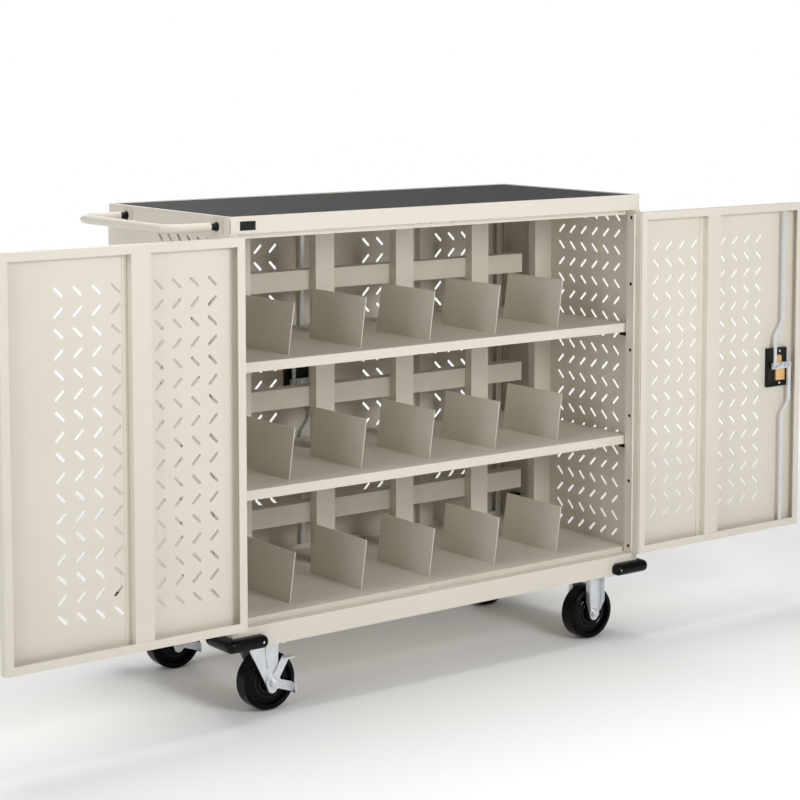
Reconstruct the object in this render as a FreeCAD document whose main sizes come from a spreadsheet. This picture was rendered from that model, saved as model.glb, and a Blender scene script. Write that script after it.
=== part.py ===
import FreeCAD, Part
import math
import os
from types import SimpleNamespace

import Sketcher
from FreeCAD import Placement, Rotation, Vector

# Charging cart: a steel cabinet on casters with front and rear door pairs.
# X runs along the cart with 0 at its middle, Y runs from front to rear, Z up.
# The origin is on the floor, under the middle of the cart's box.

# Driving dimensions in millimetres, degrees and counts.
DIMENSIONS = {
    # cabinet shell
    "cart_width": "1150",
    "cart_depth": "505",
    "tray_top": "1066",
    "tray_drop": "36",
    "tray_rim": "8",
    "tray_corner": "7",
    "mat_recess": "5",
    "mat_thickness": "3",
    "mat_gap": "0.5",
    "sheet": "1.5",
    "caster_height": "157",
    "base_height": "46",
    "base_pad_length": "210",
    "post_width": "19",
    "post_depth": "25",
    "header_drop": "13",
    # shelves and what stands on them
    "shelf_setback": "28",
    "shelf_fit": "0.5",
    "shelf_lip": "21",
    "bottom_shelf_rise": "11",
    "middle_shelf_top": "486",
    "upper_shelf_top": "757",
    "clip_reach": "14",
    "clip_depth": "18",
    "clip_height": "10",
    "clip_setback": "4",
    "upright_count": "4",
    "upright_pitch": "230",
    "upright_width": "52",
    "upright_depth": "25",
    "upright_setback": "318",
    "divider_count": "5",
    "divider_depth": "200",
    "divider_height": "110",
    "divider_thickness": "2",
    "divider_setback": "75",
    "divider_lean": "8",
    # doors
    "door_gap_top": "5",
    "door_gap_bottom": "2.5",
    "door_depth": "22",
    "door_lip": "18",
    "meeting_gap": "3",
    "stiffener_place": "222",
    "stiffener_width": "44",
    "stiffener_foot": "12",
    # vent slots
    "slot_length": "28",
    "slot_width": "6.5",
    "slot_angle": "45",
    "slot_column_pitch": "42",
    "slot_row_pitch": "40.5",
    "door_slot_rows": "17",
    "door_slot_columns": "4",
    "door_slot_first_column": "68",
    "door_slot_second_group": "292",
    "door_slot_first_row": "86.5",
    "side_slot_rows": "20",
    "side_slot_columns": "6",
    "side_slot_first_column": "78",
    "side_slot_column_pitch": "40",
    "side_slot_first_row": "35.5",
    # continuous hinges
    "hinge_gap": "3",
    "hinge_offset": "3.2",
    "hinge_inset": "4",
    "knuckle_radius": "2.6",
    "knuckle_count": "31",
    "knuckle_gap": "0.4",
    "pin_radius": "1.25",
    "pin_clearance": "0.05",
    "leaf_thickness": "1.2",
    "leaf_width": "18",
    # latch
    "latch_edge_distance": "62",
    "latch_height": "617",
    "latch_turn": "40",
    "housing_width": "68",
    "housing_height": "97",
    "housing_drop": "4",
    "housing_depth": "7.5",
    "housing_free_side": "24",
    "lock_body_width": "32",
    "lock_body_height": "64",
    "lock_body_drop": "5",
    "lock_body_depth": "4",
    "cam_gap": "0.3",
    "cam_thickness": "3",
    "cam_width": "16",
    "cam_pin_arm": "25.5",
    "cam_pin_radius": "2.5",
    "rod_gap": "0.5",
    "rod_thickness": "3",
    "rod_width": "10",
    "rod_side_play": "0.8",
    "rod_lift_play": "1.3",
    "rod_eye_wall": "3",
    "upper_jog_start": "79",
    "upper_jog_end": "115",
    "lower_jog_start": "88",
    "lower_jog_end": "121",
    "spindle_radius": "4",
    "spindle_clearance": "0.08",
    "lever_gap": "0.4",
    "lever_hub_radius": "14",
    "lever_hub_length": "14",
    "lever_length": "96",
    "lever_width": "18",
    "lever_thickness": "12",
    "lever_round": "4",
    "keeper_width": "160",
    "keeper_reach": "20",
    "keeper_slot_play": "1.5",
    "rivet_spacing": "64",
    "rivet_radius": "3.5",
    "rivet_head": "1.6",
    # push handle
    "handle_reach": "132",
    "handle_front": "46",
    "handle_span": "372",
    "handle_radius": "9.5",
    "handle_bend": "40",
    "handle_drop": "22",
    "collar_radius": "9.5",
    "collar_shoulder_radius": "8",
    "collar_neck_radius": "6",
    "collar_length": "20",
    "collar_flange": "5",
    # corner bumpers
    "bumper_leg": "80",
    "bumper_proud": "22",
    "bumper_height": "28",
    "bumper_rise": "0",
    # casters
    "wheel_radius": "63.5",
    "wheel_width": "45",
    "wheel_crown": "8",
    "hub_radius": "19",
    "hub_step": "3",
    "rim_depth": "8",
    "axle_radius": "6",
    "axle_clearance": "0.08",
    "axle_head_radius": "10",
    "axle_head_length": "6",
    "wheel_side_gap": "2",
    "fork_leg": "4",
    "fork_crown": "4",
    "fork_half_length": "35",
    "fork_tip_radius": "12",
    "swivel_tip_drop": "12",
    "rigid_half_length": "23",
    "rigid_taper": "30",
    "rigid_tip_drop": "5",
    "caster_plate_length": "100",
    "caster_plate_width": "86",
    "caster_plate_thickness": "4",
    "caster_bolt_spacing_x": "84",
    "caster_bolt_spacing_y": "70",
    "caster_bolt_radius": "4",
    "caster_bolt_head": "5",
    "race_radius": "24",
    "race_height": "4",
    "race_gap": "0.3",
    "king_pin_radius": "6",
    "king_pin_clearance": "0.08",
    "king_pin_head_radius": "10",
    "king_pin_head": "5",
    "caster_trail": "20",
    "swivel_inset": "120",
    "rigid_inset": "107",
    "caster_inset_y": "60",
    "lever_plate": "3",
    "lever_plate_gap": "0.4",
    "brake_hub_radius": "18",
    "brake_upper_x": "33",
    "brake_upper_z": "54",
    "brake_lower_x": "48",
    "brake_lower_z": "17",
    "brake_arm_width": "21",
    "brake_tab": "16",
    "brake_hole_clearance": "0.3",
    # power
    "strip_length": "1000",
    "strip_height": "46",
    "strip_depth": "38",
    "strip_wall": "2",
    "strip_rise": "100",
    "outlet_count": "12",
    "outlet_pitch": "72",
    "outlet_size": "30",
    "outlet_depth": "3",
    "outlet_first": "60",
    "button_radius": "7",
    "button_length": "9",
    "button_proud": "4",
    "button_clearance": "0.4",
    "button_inset": "50",
    "button_travel": "3",
    "inlet_width": "50",
    "inlet_height": "30",
    "inlet_flange": "2.5",
    "inlet_body_width": "28",
    "inlet_body_height": "22",
    "inlet_body_depth": "20",
    "inlet_wall": "2",
    "inlet_fit": "0.3",
    "inlet_pin_length": "11",
    "inlet_pin_width": "2.2",
    "inlet_pin_pitch": "7",
    "inlet_rise": "60",
    "inlet_setback": "60",
}


class Size:
    """A length with its value and the expression that ties it to the sheet."""

    def __init__(self, value, text):
        self.value = float(value)
        self.text = text

    def __float__(self):
        return self.value

    def __add__(self, other):
        return Size(self.value + float(other), f"({self.text} + {text_of(other)})")

    def __radd__(self, other):
        return Size(float(other) + self.value, f"({text_of(other)} + {self.text})")

    def __sub__(self, other):
        return Size(self.value - float(other), f"({self.text} - {text_of(other)})")

    def __rsub__(self, other):
        return Size(float(other) - self.value, f"({text_of(other)} - {self.text})")

    def __mul__(self, other):
        return Size(self.value * float(other), f"({self.text} * {text_of(other)})")

    __rmul__ = __mul__

    def __truediv__(self, other):
        return Size(self.value / float(other), f"({self.text} / {text_of(other)})")

    def __neg__(self):
        return Size(-self.value, f"(0 - {self.text})")

    def __int__(self):
        return int(round(self.value))


def text_of(number):
    return number.text if isinstance(number, Size) else repr(float(number))


def tangent(angle):
    """The tangent of an angle given in degrees."""
    return Size(math.tan(math.radians(float(angle))), f"tan({angle.text} * 1 deg)")


doc = FreeCAD.newDocument("charging_cart")
sheet = doc.addObject("Spreadsheet::Sheet", "Sizes")
for row, (alias, number) in enumerate(DIMENSIONS.items(), start=1):
    sheet.set(f"A{row}", alias)
    sheet.set(f"B{row}", number)
    sheet.setAlias(f"B{row}", alias)
doc.recompute()
d = SimpleNamespace(**{alias: Size(number, f"Sizes.{alias}") for alias, number in DIMENSIONS.items()})

# Levels and faces that several pieces share.
half_width = d.cart_width / 2
tray_bottom = d.tray_top - d.tray_drop
ledge = d.caster_height + d.base_height
bottom_shelf_top = ledge + d.bottom_shelf_rise
post_inner = half_width - d.post_width
panel_inner = half_width - d.sheet
axis_x = post_inner - d.hinge_gap / 2
door_width = axis_x - d.hinge_gap / 2 - d.meeting_gap / 2
door_start = d.hinge_gap / 2
door_end = door_start + door_width
door_bottom = ledge + d.door_gap_bottom
door_top = tray_bottom - d.door_gap_top
door_height = door_top - door_bottom
door_face = d.hinge_offset
door_back = d.hinge_offset + d.door_depth
lip_face = door_back - d.sheet
shelf_width = panel_inner * 2 - d.shelf_fit * 2
shelf_depth = d.cart_depth - d.shelf_setback * 2
lever_reach = d.lever_gap + d.lever_hub_length + d.lever_thickness
front_reach = d.door_depth + d.hinge_offset * 2
# The cabinet's front face lies at this Y, which centres the whole box on the origin.
front_plane = (front_reach - lever_reach - d.cart_depth) / 2
rear_plane = front_plane + d.cart_depth

# Latch levels, measured in the door from its hinge axis.
cam_centre = door_end - d.latch_edge_distance
housing_back = door_face + d.sheet + d.housing_depth
lock_body_back = housing_back + d.lock_body_depth
cam_front = lock_body_back + d.cam_gap
cam_back = cam_front + d.cam_thickness
rod_front = cam_back + d.rod_gap
rod_back = rod_front + d.rod_thickness
keeper_hole_x = axis_x - cam_centre

# Caster levels.
plate_bottom = d.caster_height - d.caster_plate_thickness
race_bottom = plate_bottom - d.race_height
crown_top = race_bottom - d.race_gap
fork_inner = d.wheel_width + d.wheel_side_gap * 2
fork_outer = fork_inner + d.fork_leg * 2
swivel_x = d.swivel_inset - half_width
king_x = swivel_x - d.caster_trail
rigid_x = half_width - d.rigid_inset
caster_front = front_plane + d.caster_inset_y
caster_rear = rear_plane - d.caster_inset_y

nodes = []


def node(thing, label):
    """Names a finished sub-part: its label is its file's name."""
    thing.Label = label
    nodes.append(thing)
    return thing


def bind(thing, **sizes):
    """Ties properties to the sheet; a double underscore stands for a dot."""
    for name, size in sizes.items():
        thing.setExpression(name.replace("__", "."), text_of(size))
    return thing


def place(thing, x=0, y=0, z=0, turn=0):
    """Sets a sub-part's place, bound to the sheet, and its turn about Z in degrees."""
    thing.Placement = Placement(Vector(float(x), float(y), float(z)), Rotation(Vector(0, 0, 1), turn))
    return bind(thing, Placement__Base__x=x, Placement__Base__y=y, Placement__Base__z=z)


def box(x, y, z, length, width, height):
    """A plain block from its low corner."""
    block = doc.addObject("Part::Box", "block")
    bind(block, Length=length, Width=width, Height=height)
    return place(block, x, y, z)


def cut(base, *tools):
    """A base with tools taken out of it."""
    result = doc.addObject("Part::Cut", "cut")
    result.Base = base
    result.Tool = tools[0] if len(tools) == 1 else fuse(*tools)
    return result


def fuse(*pieces):
    result = doc.addObject("Part::MultiFuse", "fuse")
    result.Shapes = list(pieces)
    return result


def group(*pieces):
    """Like pieces that share one node, as separate solids."""
    result = doc.addObject("Part::Compound", "group")
    result.Links = list(pieces)
    return result


def new_body(name):
    return doc.addObject("PartDesign::Body", name)


def sketch_on(body, plane, level):
    """A sketch on one of the body's own planes, moved along the plane's world axis to a level."""
    sketch = body.newObject("Sketcher::SketchObject", "outline")
    role = {"XY": "XY_Plane", "XZ": "XZ_Plane", "YZ": "YZ_Plane"}[plane]
    support = [f for f in body.Origin.OriginFeatures if f.Role == role][0]
    sketch.AttachmentSupport = (support, "")
    sketch.MapMode = "FlatFace"
    offset = -level if plane == "XZ" else level
    return bind(sketch, AttachmentOffset__Base__z=offset)


def fix_point(sketch, geometry, point, x, y):
    """Ties one point of a sketch to the sheet, measured from the sketch's origin."""
    for kind, size in (("DistanceX", x), ("DistanceY", y)):
        index = sketch.addConstraint(Sketcher.Constraint(kind, -1, 1, geometry, point, float(size)))
        sketch.setExpression(f"Constraints[{index}]", text_of(size))


def polygon(sketch, *points):
    """A closed outline of straight edges."""
    flat = [Vector(float(x), float(y), 0) for x, y in points]
    first = sketch.GeometryCount
    for number, start in enumerate(flat):
        sketch.addGeometry(Part.LineSegment(start, flat[(number + 1) % len(flat)]), False)
    for number in range(len(flat)):
        following = (number + 1) % len(flat)
        sketch.addConstraint(Sketcher.Constraint("Coincident", first + number, 2, first + following, 1))
    for number, (x, y) in enumerate(points):
        fix_point(sketch, first + number, 1, x, y)


def rectangle(sketch, x0, y0, x1, y1):
    polygon(sketch, (x0, y0), (x1, y0), (x1, y1), (x0, y1))


def circle(sketch, x, y, radius):
    ring = Part.Circle(Vector(float(x), float(y), 0), Vector(0, 0, 1), float(radius))
    index = sketch.addGeometry(ring, False)
    fix_point(sketch, index, 3, x, y)
    limit = sketch.addConstraint(Sketcher.Constraint("Radius", index, float(radius)))
    sketch.setExpression(f"Constraints[{limit}]", text_of(radius))


def pad(body, plane, low, high, draw, *sizes):
    """Adds material between two levels along the plane's world axis."""
    sketch = sketch_on(body, plane, high if plane == "XZ" else low)
    draw(sketch, *sizes)
    feature = body.newObject("PartDesign::Pad", "pad")
    feature.Profile = sketch
    return bind(feature, Length=high - low)


def pocket(body, plane, low, high, draw, *sizes):
    """Removes material between two levels along the plane's world axis."""
    sketch = sketch_on(body, plane, low if plane == "XZ" else high)
    draw(sketch, *sizes)
    feature = body.newObject("PartDesign::Pocket", "pocket")
    feature.Profile = sketch
    return bind(feature, Length=high - low)


def revolve(body, *points, axis="V_Axis"):
    """Turns an outline about the body's own Y axis, or about its X axis for H_Axis."""
    sketch = sketch_on(body, "XY", Size(0, "0"))
    polygon(sketch, *points)
    feature = body.newObject("PartDesign::Revolution", "revolution")
    feature.Profile = sketch
    feature.ReferenceAxis = (sketch, [axis])
    feature.Angle = 360
    return feature


def round_edges(body, feature, radius, wanted):
    """Rounds the edges of a body's last feature that a test picks."""
    doc.recompute()
    names = [f"Edge{n}" for n, edge in enumerate(feature.Shape.Edges, start=1) if wanted(edge)]
    fillet = body.newObject("PartDesign::Fillet", "fillet")
    fillet.Base = (feature, names)
    return bind(fillet, Radius=radius)


def upright_edge(edge):
    low, high = edge.BoundBox.ZMin, edge.BoundBox.ZMax
    flat = max(edge.BoundBox.XLength, edge.BoundBox.YLength)
    return high - low > 1 and flat < 0.01


def slot_wire(along, up, rises):
    """One slanted vent slot as a closed wire of two straight sides and two round ends."""
    radius = float(d.slot_width) / 2
    reach = float(d.slot_length) / 2 - radius
    lean = math.radians(float(d.slot_angle))
    if not rises:
        lean = math.pi - lean
    run = Vector(math.cos(lean), math.sin(lean), 0)
    side = Vector(-run.y, run.x, 0)
    middle = Vector(along, up, 0)
    head = middle + run * reach
    tail = middle - run * reach
    edges = [
        Part.LineSegment(tail - side * radius, head - side * radius),
        Part.Arc(head - side * radius, head + run * radius, head + side * radius),
        Part.LineSegment(head + side * radius, tail + side * radius),
        Part.Arc(tail + side * radius, tail - run * radius, tail - side * radius),
    ]
    return Part.Wire([edge.toShape() for edge in edges])


def rect_wire(x0, y0, x1, y1):
    corners = [(x0, y0), (x1, y0), (x1, y1), (x0, y1), (x0, y0)]
    return Part.makePolygon([Vector(float(x), float(y), 0) for x, y in corners])


def flat_plate(wires, thickness):
    """A plate with holes, drawn in XY and raised along Z."""
    face = Part.makeFace(wires, "Part::FaceMakerBullseye")
    return face.extrude(Vector(0, 0, float(thickness)))


def slot_grid(columns, first_row, rows, rises_first):
    """Vent slots in rows that lean by turns one way and the other."""
    wires = []
    for row in range(rows):
        rises = (row % 2 == 0) == rises_first
        up = first_row + row * float(d.slot_row_pitch)
        wires.extend(slot_wire(along, up, rises) for along in columns)
    return wires


def column_run(first, count, pitch):
    return [float(first) + number * float(pitch) for number in range(count)]


def stand_up(flat_solid, level):
    """Turns a plate drawn in XY and raised along Z so that it stands in XZ, starting at a Y level."""
    solid = flat_solid.copy()
    solid.rotate(Vector(0, 0, 0), Vector(1, 0, 0), 90)
    solid.translate(Vector(0, float(level), 0))
    return solid


# Cabinet shell


def side_panel(side, label):
    """Perforated side sheet; the slots serve the device bays at the front."""
    columns = column_run(d.side_slot_first_column, int(d.side_slot_columns), d.side_slot_column_pitch)
    first_row = float(ledge + d.side_slot_first_row)
    outline = rect_wire(0, d.caster_height, d.cart_depth, tray_bottom)
    holes = slot_grid(columns, first_row, int(d.side_slot_rows), False)
    if side > 0:
        hole_y = d.cart_depth - d.inlet_setback
        hole_z = ledge + d.inlet_rise
        reach_y = d.inlet_body_width / 2 + d.inlet_fit
        reach_z = d.inlet_body_height / 2 + d.inlet_fit
        holes.append(rect_wire(hole_y - reach_y, hole_z - reach_z, hole_y + reach_y, hole_z + reach_z))
    plate = flat_plate([outline] + holes, d.sheet)
    # the sheet is drawn flat with depth along X and height along Y, then stood up facing X
    facing_x = Placement(Vector(0, 0, 0), Rotation(Vector(1, 1, 1), 120))
    plate = plate.transformed(facing_x.toMatrix(), True)
    panel = doc.addObject("Part::Feature", "side_panel")
    panel.Shape = plate
    place(panel, panel_inner if side > 0 else -half_width, front_plane, 0)
    node(panel, label)


def corner_post(side, y_low):
    """Folded corner post, a closed box section inside the side sheet."""
    body = new_body("corner_post")
    x_low = post_inner if side > 0 else -panel_inner
    x_high = panel_inner if side > 0 else -post_inner
    y_high = y_low + d.post_depth
    pad(body, "XY", d.caster_height, tray_bottom, rectangle, x_low, y_low, x_high, y_high)
    wall = d.sheet
    pocket(body, "XY", d.caster_height, tray_bottom, rectangle,
           x_low + wall, y_low + wall, x_high - wall, y_high - wall)
    return place(body)


def rod_hole(x_middle, y_low, z_low, height):
    """Clear hole for a latch rod through a horizontal flange."""
    play = d.keeper_slot_play
    return box(x_middle - d.rod_width / 2 - play, y_low - play, z_low,
               d.rod_width + play * 2, d.rod_thickness + play * 2, height)


def rod_holes(z_low, height):
    """The four rod holes of one level: two at the front and two at the rear."""
    front_y = front_plane - d.hinge_offset + rod_front
    rear_y = rear_plane + d.hinge_offset - rod_back
    return [rod_hole(side * keeper_hole_x, y, z_low, height) for side in (-1, 1) for y in (front_y, rear_y)]


def tray():
    """Top tray: a folded pan with a raised rim, a recess for the mat and return flanges below."""
    body = new_body("tray_pan")
    outer = pad(body, "XY", tray_bottom, d.tray_top, rectangle,
                -half_width, front_plane, half_width, rear_plane)
    round_edges(body, outer, d.tray_corner, upright_edge)
    rim = d.tray_rim
    recess_floor = d.tray_top - d.mat_recess
    pocket(body, "XY", recess_floor, d.tray_top, rectangle,
           -half_width + rim, front_plane + rim, half_width - rim, rear_plane - rim)
    inner = box(-half_width + d.sheet, front_plane + d.sheet, tray_bottom + d.sheet,
                d.cart_width - d.sheet * 2, d.cart_depth - d.sheet * 2,
                d.tray_drop - d.mat_recess - d.sheet * 2)
    flange = d.shelf_setback + d.sheet
    mouth = box(-post_inner, front_plane + flange, tray_bottom, post_inner * 2,
                d.cart_depth - flange * 2, d.sheet)
    node(cut(place(body), inner, mouth, *rod_holes(tray_bottom, d.sheet)), "tray")


def mat():
    """Rubber mat lying in the tray's recess."""
    body = new_body("mat")
    edge = d.tray_rim + d.mat_gap
    floor = d.tray_top - d.mat_recess
    pad(body, "XY", floor, floor + d.mat_thickness, rectangle,
        -half_width + edge, front_plane + edge, half_width - edge, rear_plane - edge)
    node(place(body), "mat")


def headers():
    """Strips that close the door openings at the top, front and rear."""
    bottom = tray_bottom - d.header_drop
    front = box(-post_inner, front_plane + d.shelf_setback, bottom, post_inner * 2, d.sheet, d.header_drop)
    rear = box(-post_inner, rear_plane - d.shelf_setback - d.sheet, bottom,
               post_inner * 2, d.sheet, d.header_drop)
    node(group(front, rear), "headers")


def base_frame():
    """Base of welded plates: a deck, aprons all round and a pad under each end for the casters."""
    wall = d.sheet
    low = d.caster_height
    deck_low = ledge - wall
    apron_height = deck_low - low
    inner_y = front_plane + wall
    inner_depth = d.cart_depth - wall * 2
    deck = box(-post_inner, front_plane, deck_low, post_inner * 2, d.cart_depth, wall)
    plates = [cut(deck, *rod_holes(deck_low, wall))]
    for y in (front_plane, rear_plane - wall):
        plates.append(box(-post_inner, y, low, post_inner * 2, wall, apron_height))
    for x in (-post_inner, post_inner - wall):
        plates.append(box(x, inner_y, low, wall, inner_depth, apron_height))
    pad_length = d.base_pad_length - wall
    for x in (-post_inner + wall, post_inner - wall - pad_length):
        plates.append(box(x, inner_y, low, pad_length, inner_depth, wall))
    node(group(*plates), "base_frame")


def upright_places():
    """X of each upright's middle: evenly spaced inner ones, and one against each side sheet."""
    count = int(d.upright_count)
    end = panel_inner - d.upright_width / 2
    inner = [d.upright_pitch * (number - (count - 1) / 2) for number in range(count)]
    return [-end] + inner + [end]


def shelf_pan(top, lip):
    """A shelf folded down on all four sides."""
    y_low = front_plane + d.shelf_setback
    body = new_body("shelf_pan")
    pad(body, "XY", top - lip, top, rectangle, -shelf_width / 2, y_low, shelf_width / 2, y_low + shelf_depth)
    wall = d.sheet
    pocket(body, "XY", top - lip, top - wall, rectangle,
           -shelf_width / 2 + wall, y_low + wall, shelf_width / 2 - wall, y_low + shelf_depth - wall)
    return body


def upright_notch(body, top, lip, x):
    """Clears an upright that passes through a shelf."""
    y_low = front_plane + d.upright_setback - d.shelf_fit
    reach = d.upright_width / 2 + d.shelf_fit
    pocket(body, "XY", top - lip, top, rectangle,
           x - reach, y_low, x + reach, y_low + d.upright_depth + d.shelf_fit * 2)


def shelves():
    node(place(shelf_pan(bottom_shelf_top, d.bottom_shelf_rise)), "bottom_shelf")
    pans = []
    for top in (d.middle_shelf_top, d.upper_shelf_top):
        body = shelf_pan(top, d.shelf_lip)
        for x in upright_places():
            upright_notch(body, top, d.shelf_lip, x)
        pans.append(place(body))
    node(group(*pans), "adjustable_shelves")


def shelf_clips():
    """Black clips on the side sheets that carry the adjustable shelves."""
    clips = []
    y_front = front_plane + d.shelf_setback + d.clip_setback
    y_rear = rear_plane - d.shelf_setback - d.clip_setback - d.clip_depth
    for top in (d.middle_shelf_top, d.upper_shelf_top):
        z_low = top - d.shelf_lip - d.clip_height
        for y in (y_front, y_rear):
            for x in (-panel_inner, panel_inner - d.clip_reach):
                clips.append(box(x, y, z_low, d.clip_reach, d.clip_depth, d.clip_height))
    node(group(*clips), "shelf_clips")


def uprights():
    """Channel uprights between the device bays and the power bay, open to the rear."""
    posts = []
    wall = d.sheet
    y_low = front_plane + d.upright_setback
    y_high = y_low + d.upright_depth
    places = upright_places()
    for x in places:
        left = x - d.upright_width / 2
        right = x + d.upright_width / 2
        # the two end posts stop under the tray's end flanges, the others reach its pan
        under_flange = x is places[0] or x is places[-1]
        top = tray_bottom if under_flange else d.tray_top - d.mat_recess - wall
        body = new_body("upright")
        pad(body, "XY", bottom_shelf_top, top, polygon,
            (left, y_low), (right, y_low), (right, y_high), (right - wall, y_high),
            (right - wall, y_low + wall), (left + wall, y_low + wall), (left + wall, y_high), (left, y_high))
        posts.append(place(body))
    node(group(*posts), "uprights")


def dividers():
    """Leaning dividers that keep the stored devices apart."""
    plates = []
    wall = d.divider_thickness
    lean = tangent(d.divider_lean)
    y_low = front_plane + d.divider_setback
    bay = shelf_width / (int(d.divider_count) + 1)
    for top in (bottom_shelf_top, d.middle_shelf_top, d.upper_shelf_top):
        for number in range(int(d.divider_count)):
            x = -shelf_width / 2 + bay * (number + 1)
            body = new_body("divider")
            high = d.divider_height
            pad(body, "XZ", y_low, y_low + d.divider_depth, polygon,
                (x, top), (x + wall, top), (x + wall + high * lean, top + high), (x + high * lean, top + high))
            plates.append(place(body))
    node(group(*plates), "dividers")


# Doors


def door_pan(side, latched, label, where):
    """Folded door pan: a slotted face, four walls and a return lip all round."""
    start = float(door_start)
    end = float(door_end)
    low = float(door_bottom)
    high = float(door_top)
    wall = float(d.sheet)
    lip = float(d.door_lip)
    pitch = d.slot_column_pitch
    columns = column_run(d.door_slot_first_column, int(d.door_slot_columns), pitch)
    columns += column_run(d.door_slot_second_group, int(d.door_slot_columns), pitch)
    holes = slot_grid(columns, low + float(d.door_slot_first_row), int(d.door_slot_rows), True)
    if latched:
        hub = Vector(float(cam_centre), float(d.latch_height), 0)
        ring = Part.Circle(hub, Vector(0, 0, 1), float(d.spindle_radius + d.spindle_clearance))
        holes.append(Part.Wire([ring.toShape()]))
    edge = rect_wire(start, low, end, high)
    face = flat_plate([edge] + holes, d.sheet)
    inner = rect_wire(start + wall, low + wall, end - wall, high - wall)
    walls = flat_plate([edge, inner], d.door_depth)
    mouth = rect_wire(start + lip, low + lip, end - lip, high - lip)
    lips = flat_plate([edge, mouth], d.sheet)
    # the flat drawing is stood up so that its raised side faces into the cabinet
    pan = stand_up(face, door_face + d.sheet)
    pan = pan.fuse([stand_up(walls, door_back), stand_up(lips, door_back)]).removeSplitter()
    if latched:
        play = float(d.keeper_slot_play) / 2
        left = float(cam_centre - d.rod_width / 2) - play
        width = float(d.rod_width) + play * 2
        depth = float(d.rod_thickness) + play * 2
        for z in (low, high - wall):
            corner = Vector(left, float(rod_front) - play, z)
            pan = pan.cut(Part.makeBox(width, depth, wall, corner))
    if side < 0:
        pan = pan.mirror(Vector(0, 0, 0), Vector(1, 0, 0))
    door = doc.addObject("Part::Feature", "door_pan")
    door.Shape = pan
    node(where(door), label)


def stiffener(side, label, where):
    """Upright hat section welded to the door's inner face and under its lips."""
    body = new_body("stiffener")
    wall = d.sheet
    left = d.stiffener_place
    right = left + d.stiffener_width
    foot = d.stiffener_foot
    low = door_face + wall
    high = lip_face
    outline = [
        (left - foot, low), (left + wall, low), (left + wall, high - wall), (right - wall, high - wall),
        (right - wall, low), (right + foot, low), (right + foot, low + wall), (right, low + wall),
        (right, high), (left, high), (left, low + wall), (left - foot, low + wall),
    ]
    points = [(x * side, y) for x, y in outline]
    pad(body, "XY", door_bottom + wall, door_top - wall, polygon, *points)
    node(where(body), label)


def hinge_leaf(side, fixed):
    """One leaf of a continuous hinge with its own knuckles, bored for the pin."""
    count = int(d.knuckle_count)
    z_low = door_bottom + d.hinge_inset
    length = door_height - d.hinge_inset * 2
    pitch = length / count
    root = d.knuckle_radius + d.knuckle_gap
    inner = d.hinge_gap / 2 - d.leaf_thickness
    outward = -side if fixed else side
    x_low = inner if outward > 0 else -d.hinge_gap / 2
    plate = box(x_low, root, z_low, d.leaf_thickness, d.leaf_width, length)
    pieces = [plate]
    for number in range(0 if fixed else 1, count, 2):
        z = z_low + pitch * number + d.knuckle_gap / 2
        height = pitch - d.knuckle_gap
        knuckle = doc.addObject("Part::Cylinder", "knuckle")
        bind(knuckle, Radius=d.knuckle_radius, Height=height)
        pieces.append(place(knuckle, 0, 0, z))
        pieces.append(box(x_low, 0, z, d.leaf_thickness, root, height))
    bore = doc.addObject("Part::Cylinder", "bore")
    bind(bore, Radius=d.pin_radius + d.pin_clearance, Height=length)
    return cut(fuse(*pieces), place(bore, 0, 0, z_low))


def hinge_pin():
    pin = doc.addObject("Part::Cylinder", "hinge_pin")
    bind(pin, Radius=d.pin_radius, Height=door_height - d.hinge_inset * 2)
    return pin


# Latch


def latch_housing(where, label, with_body):
    """Black lock housing on the inside of the door, bored for the spindle."""
    body = new_body("latch_housing")
    free_side = cam_centre + d.housing_free_side
    middle = d.latch_height - d.housing_drop
    pad(body, "XZ", door_face + d.sheet, housing_back, rectangle,
        -free_side, middle - d.housing_height / 2,
        -free_side + d.housing_width, middle + d.housing_height / 2)
    back = housing_back
    if with_body:
        lock_block(body)
        back = lock_body_back
    spindle_bore(body, door_face + d.sheet, back)
    node(where(body), label)


def spindle_bore(body, low, high):
    pocket(body, "XZ", low, high, circle, -cam_centre, d.latch_height, d.spindle_radius + d.spindle_clearance)


def lock_block(body):
    """The plain block between a housing and its cam."""
    middle = d.latch_height - d.lock_body_drop
    pad(body, "XZ", housing_back, lock_body_back, rectangle,
        -cam_centre - d.lock_body_width / 2, middle - d.lock_body_height / 2,
        -cam_centre + d.lock_body_width / 2, middle + d.lock_body_height / 2)


def lock_body(where, label):
    """Brass lock body that stands on the housing behind the cam."""
    body = new_body("lock_body")
    lock_block(body)
    spindle_bore(body, housing_back, lock_body_back)
    node(where(body), label)


def lock_cam(where, label):
    """Cam bar with two pins that drive the rods, on the spindle from the outside lever."""
    body = new_body("lock_cam")
    middle = d.latch_height
    reach = d.cam_pin_arm + d.cam_width / 2
    pad(body, "XZ", cam_front, cam_back, rectangle,
        -cam_centre - reach, middle - d.cam_width / 2, -cam_centre + reach, middle + d.cam_width / 2)
    for arm in (-d.cam_pin_arm, d.cam_pin_arm):
        pad(body, "XZ", cam_back, rod_back, circle, -cam_centre + arm, middle, d.cam_pin_radius)
    pad(body, "XZ", door_face - d.lever_gap, cam_front, circle, -cam_centre, middle, d.spindle_radius)
    node(where(body), label)


def lock_lever(where, label):
    """Outside lever handle that hangs from the spindle's end."""
    body = new_body("lock_lever")
    middle = d.latch_height
    hub_face = door_face - d.lever_gap
    lever_face = hub_face - d.lever_hub_length
    pad(body, "XZ", lever_face, hub_face, circle, -cam_centre, middle, d.lever_hub_radius)
    bar = pad(body, "XZ", lever_face - d.lever_thickness, lever_face, rectangle,
              -cam_centre - d.lever_width / 2, middle + d.lever_width / 2 - d.lever_length,
              -cam_centre + d.lever_width / 2, middle + d.lever_width / 2)
    outer = float(lever_face - d.lever_thickness)
    round_edges(body, bar, d.lever_round, lambda edge: edge.BoundBox.YMax < outer + 0.01)
    node(where(body), label)


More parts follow.
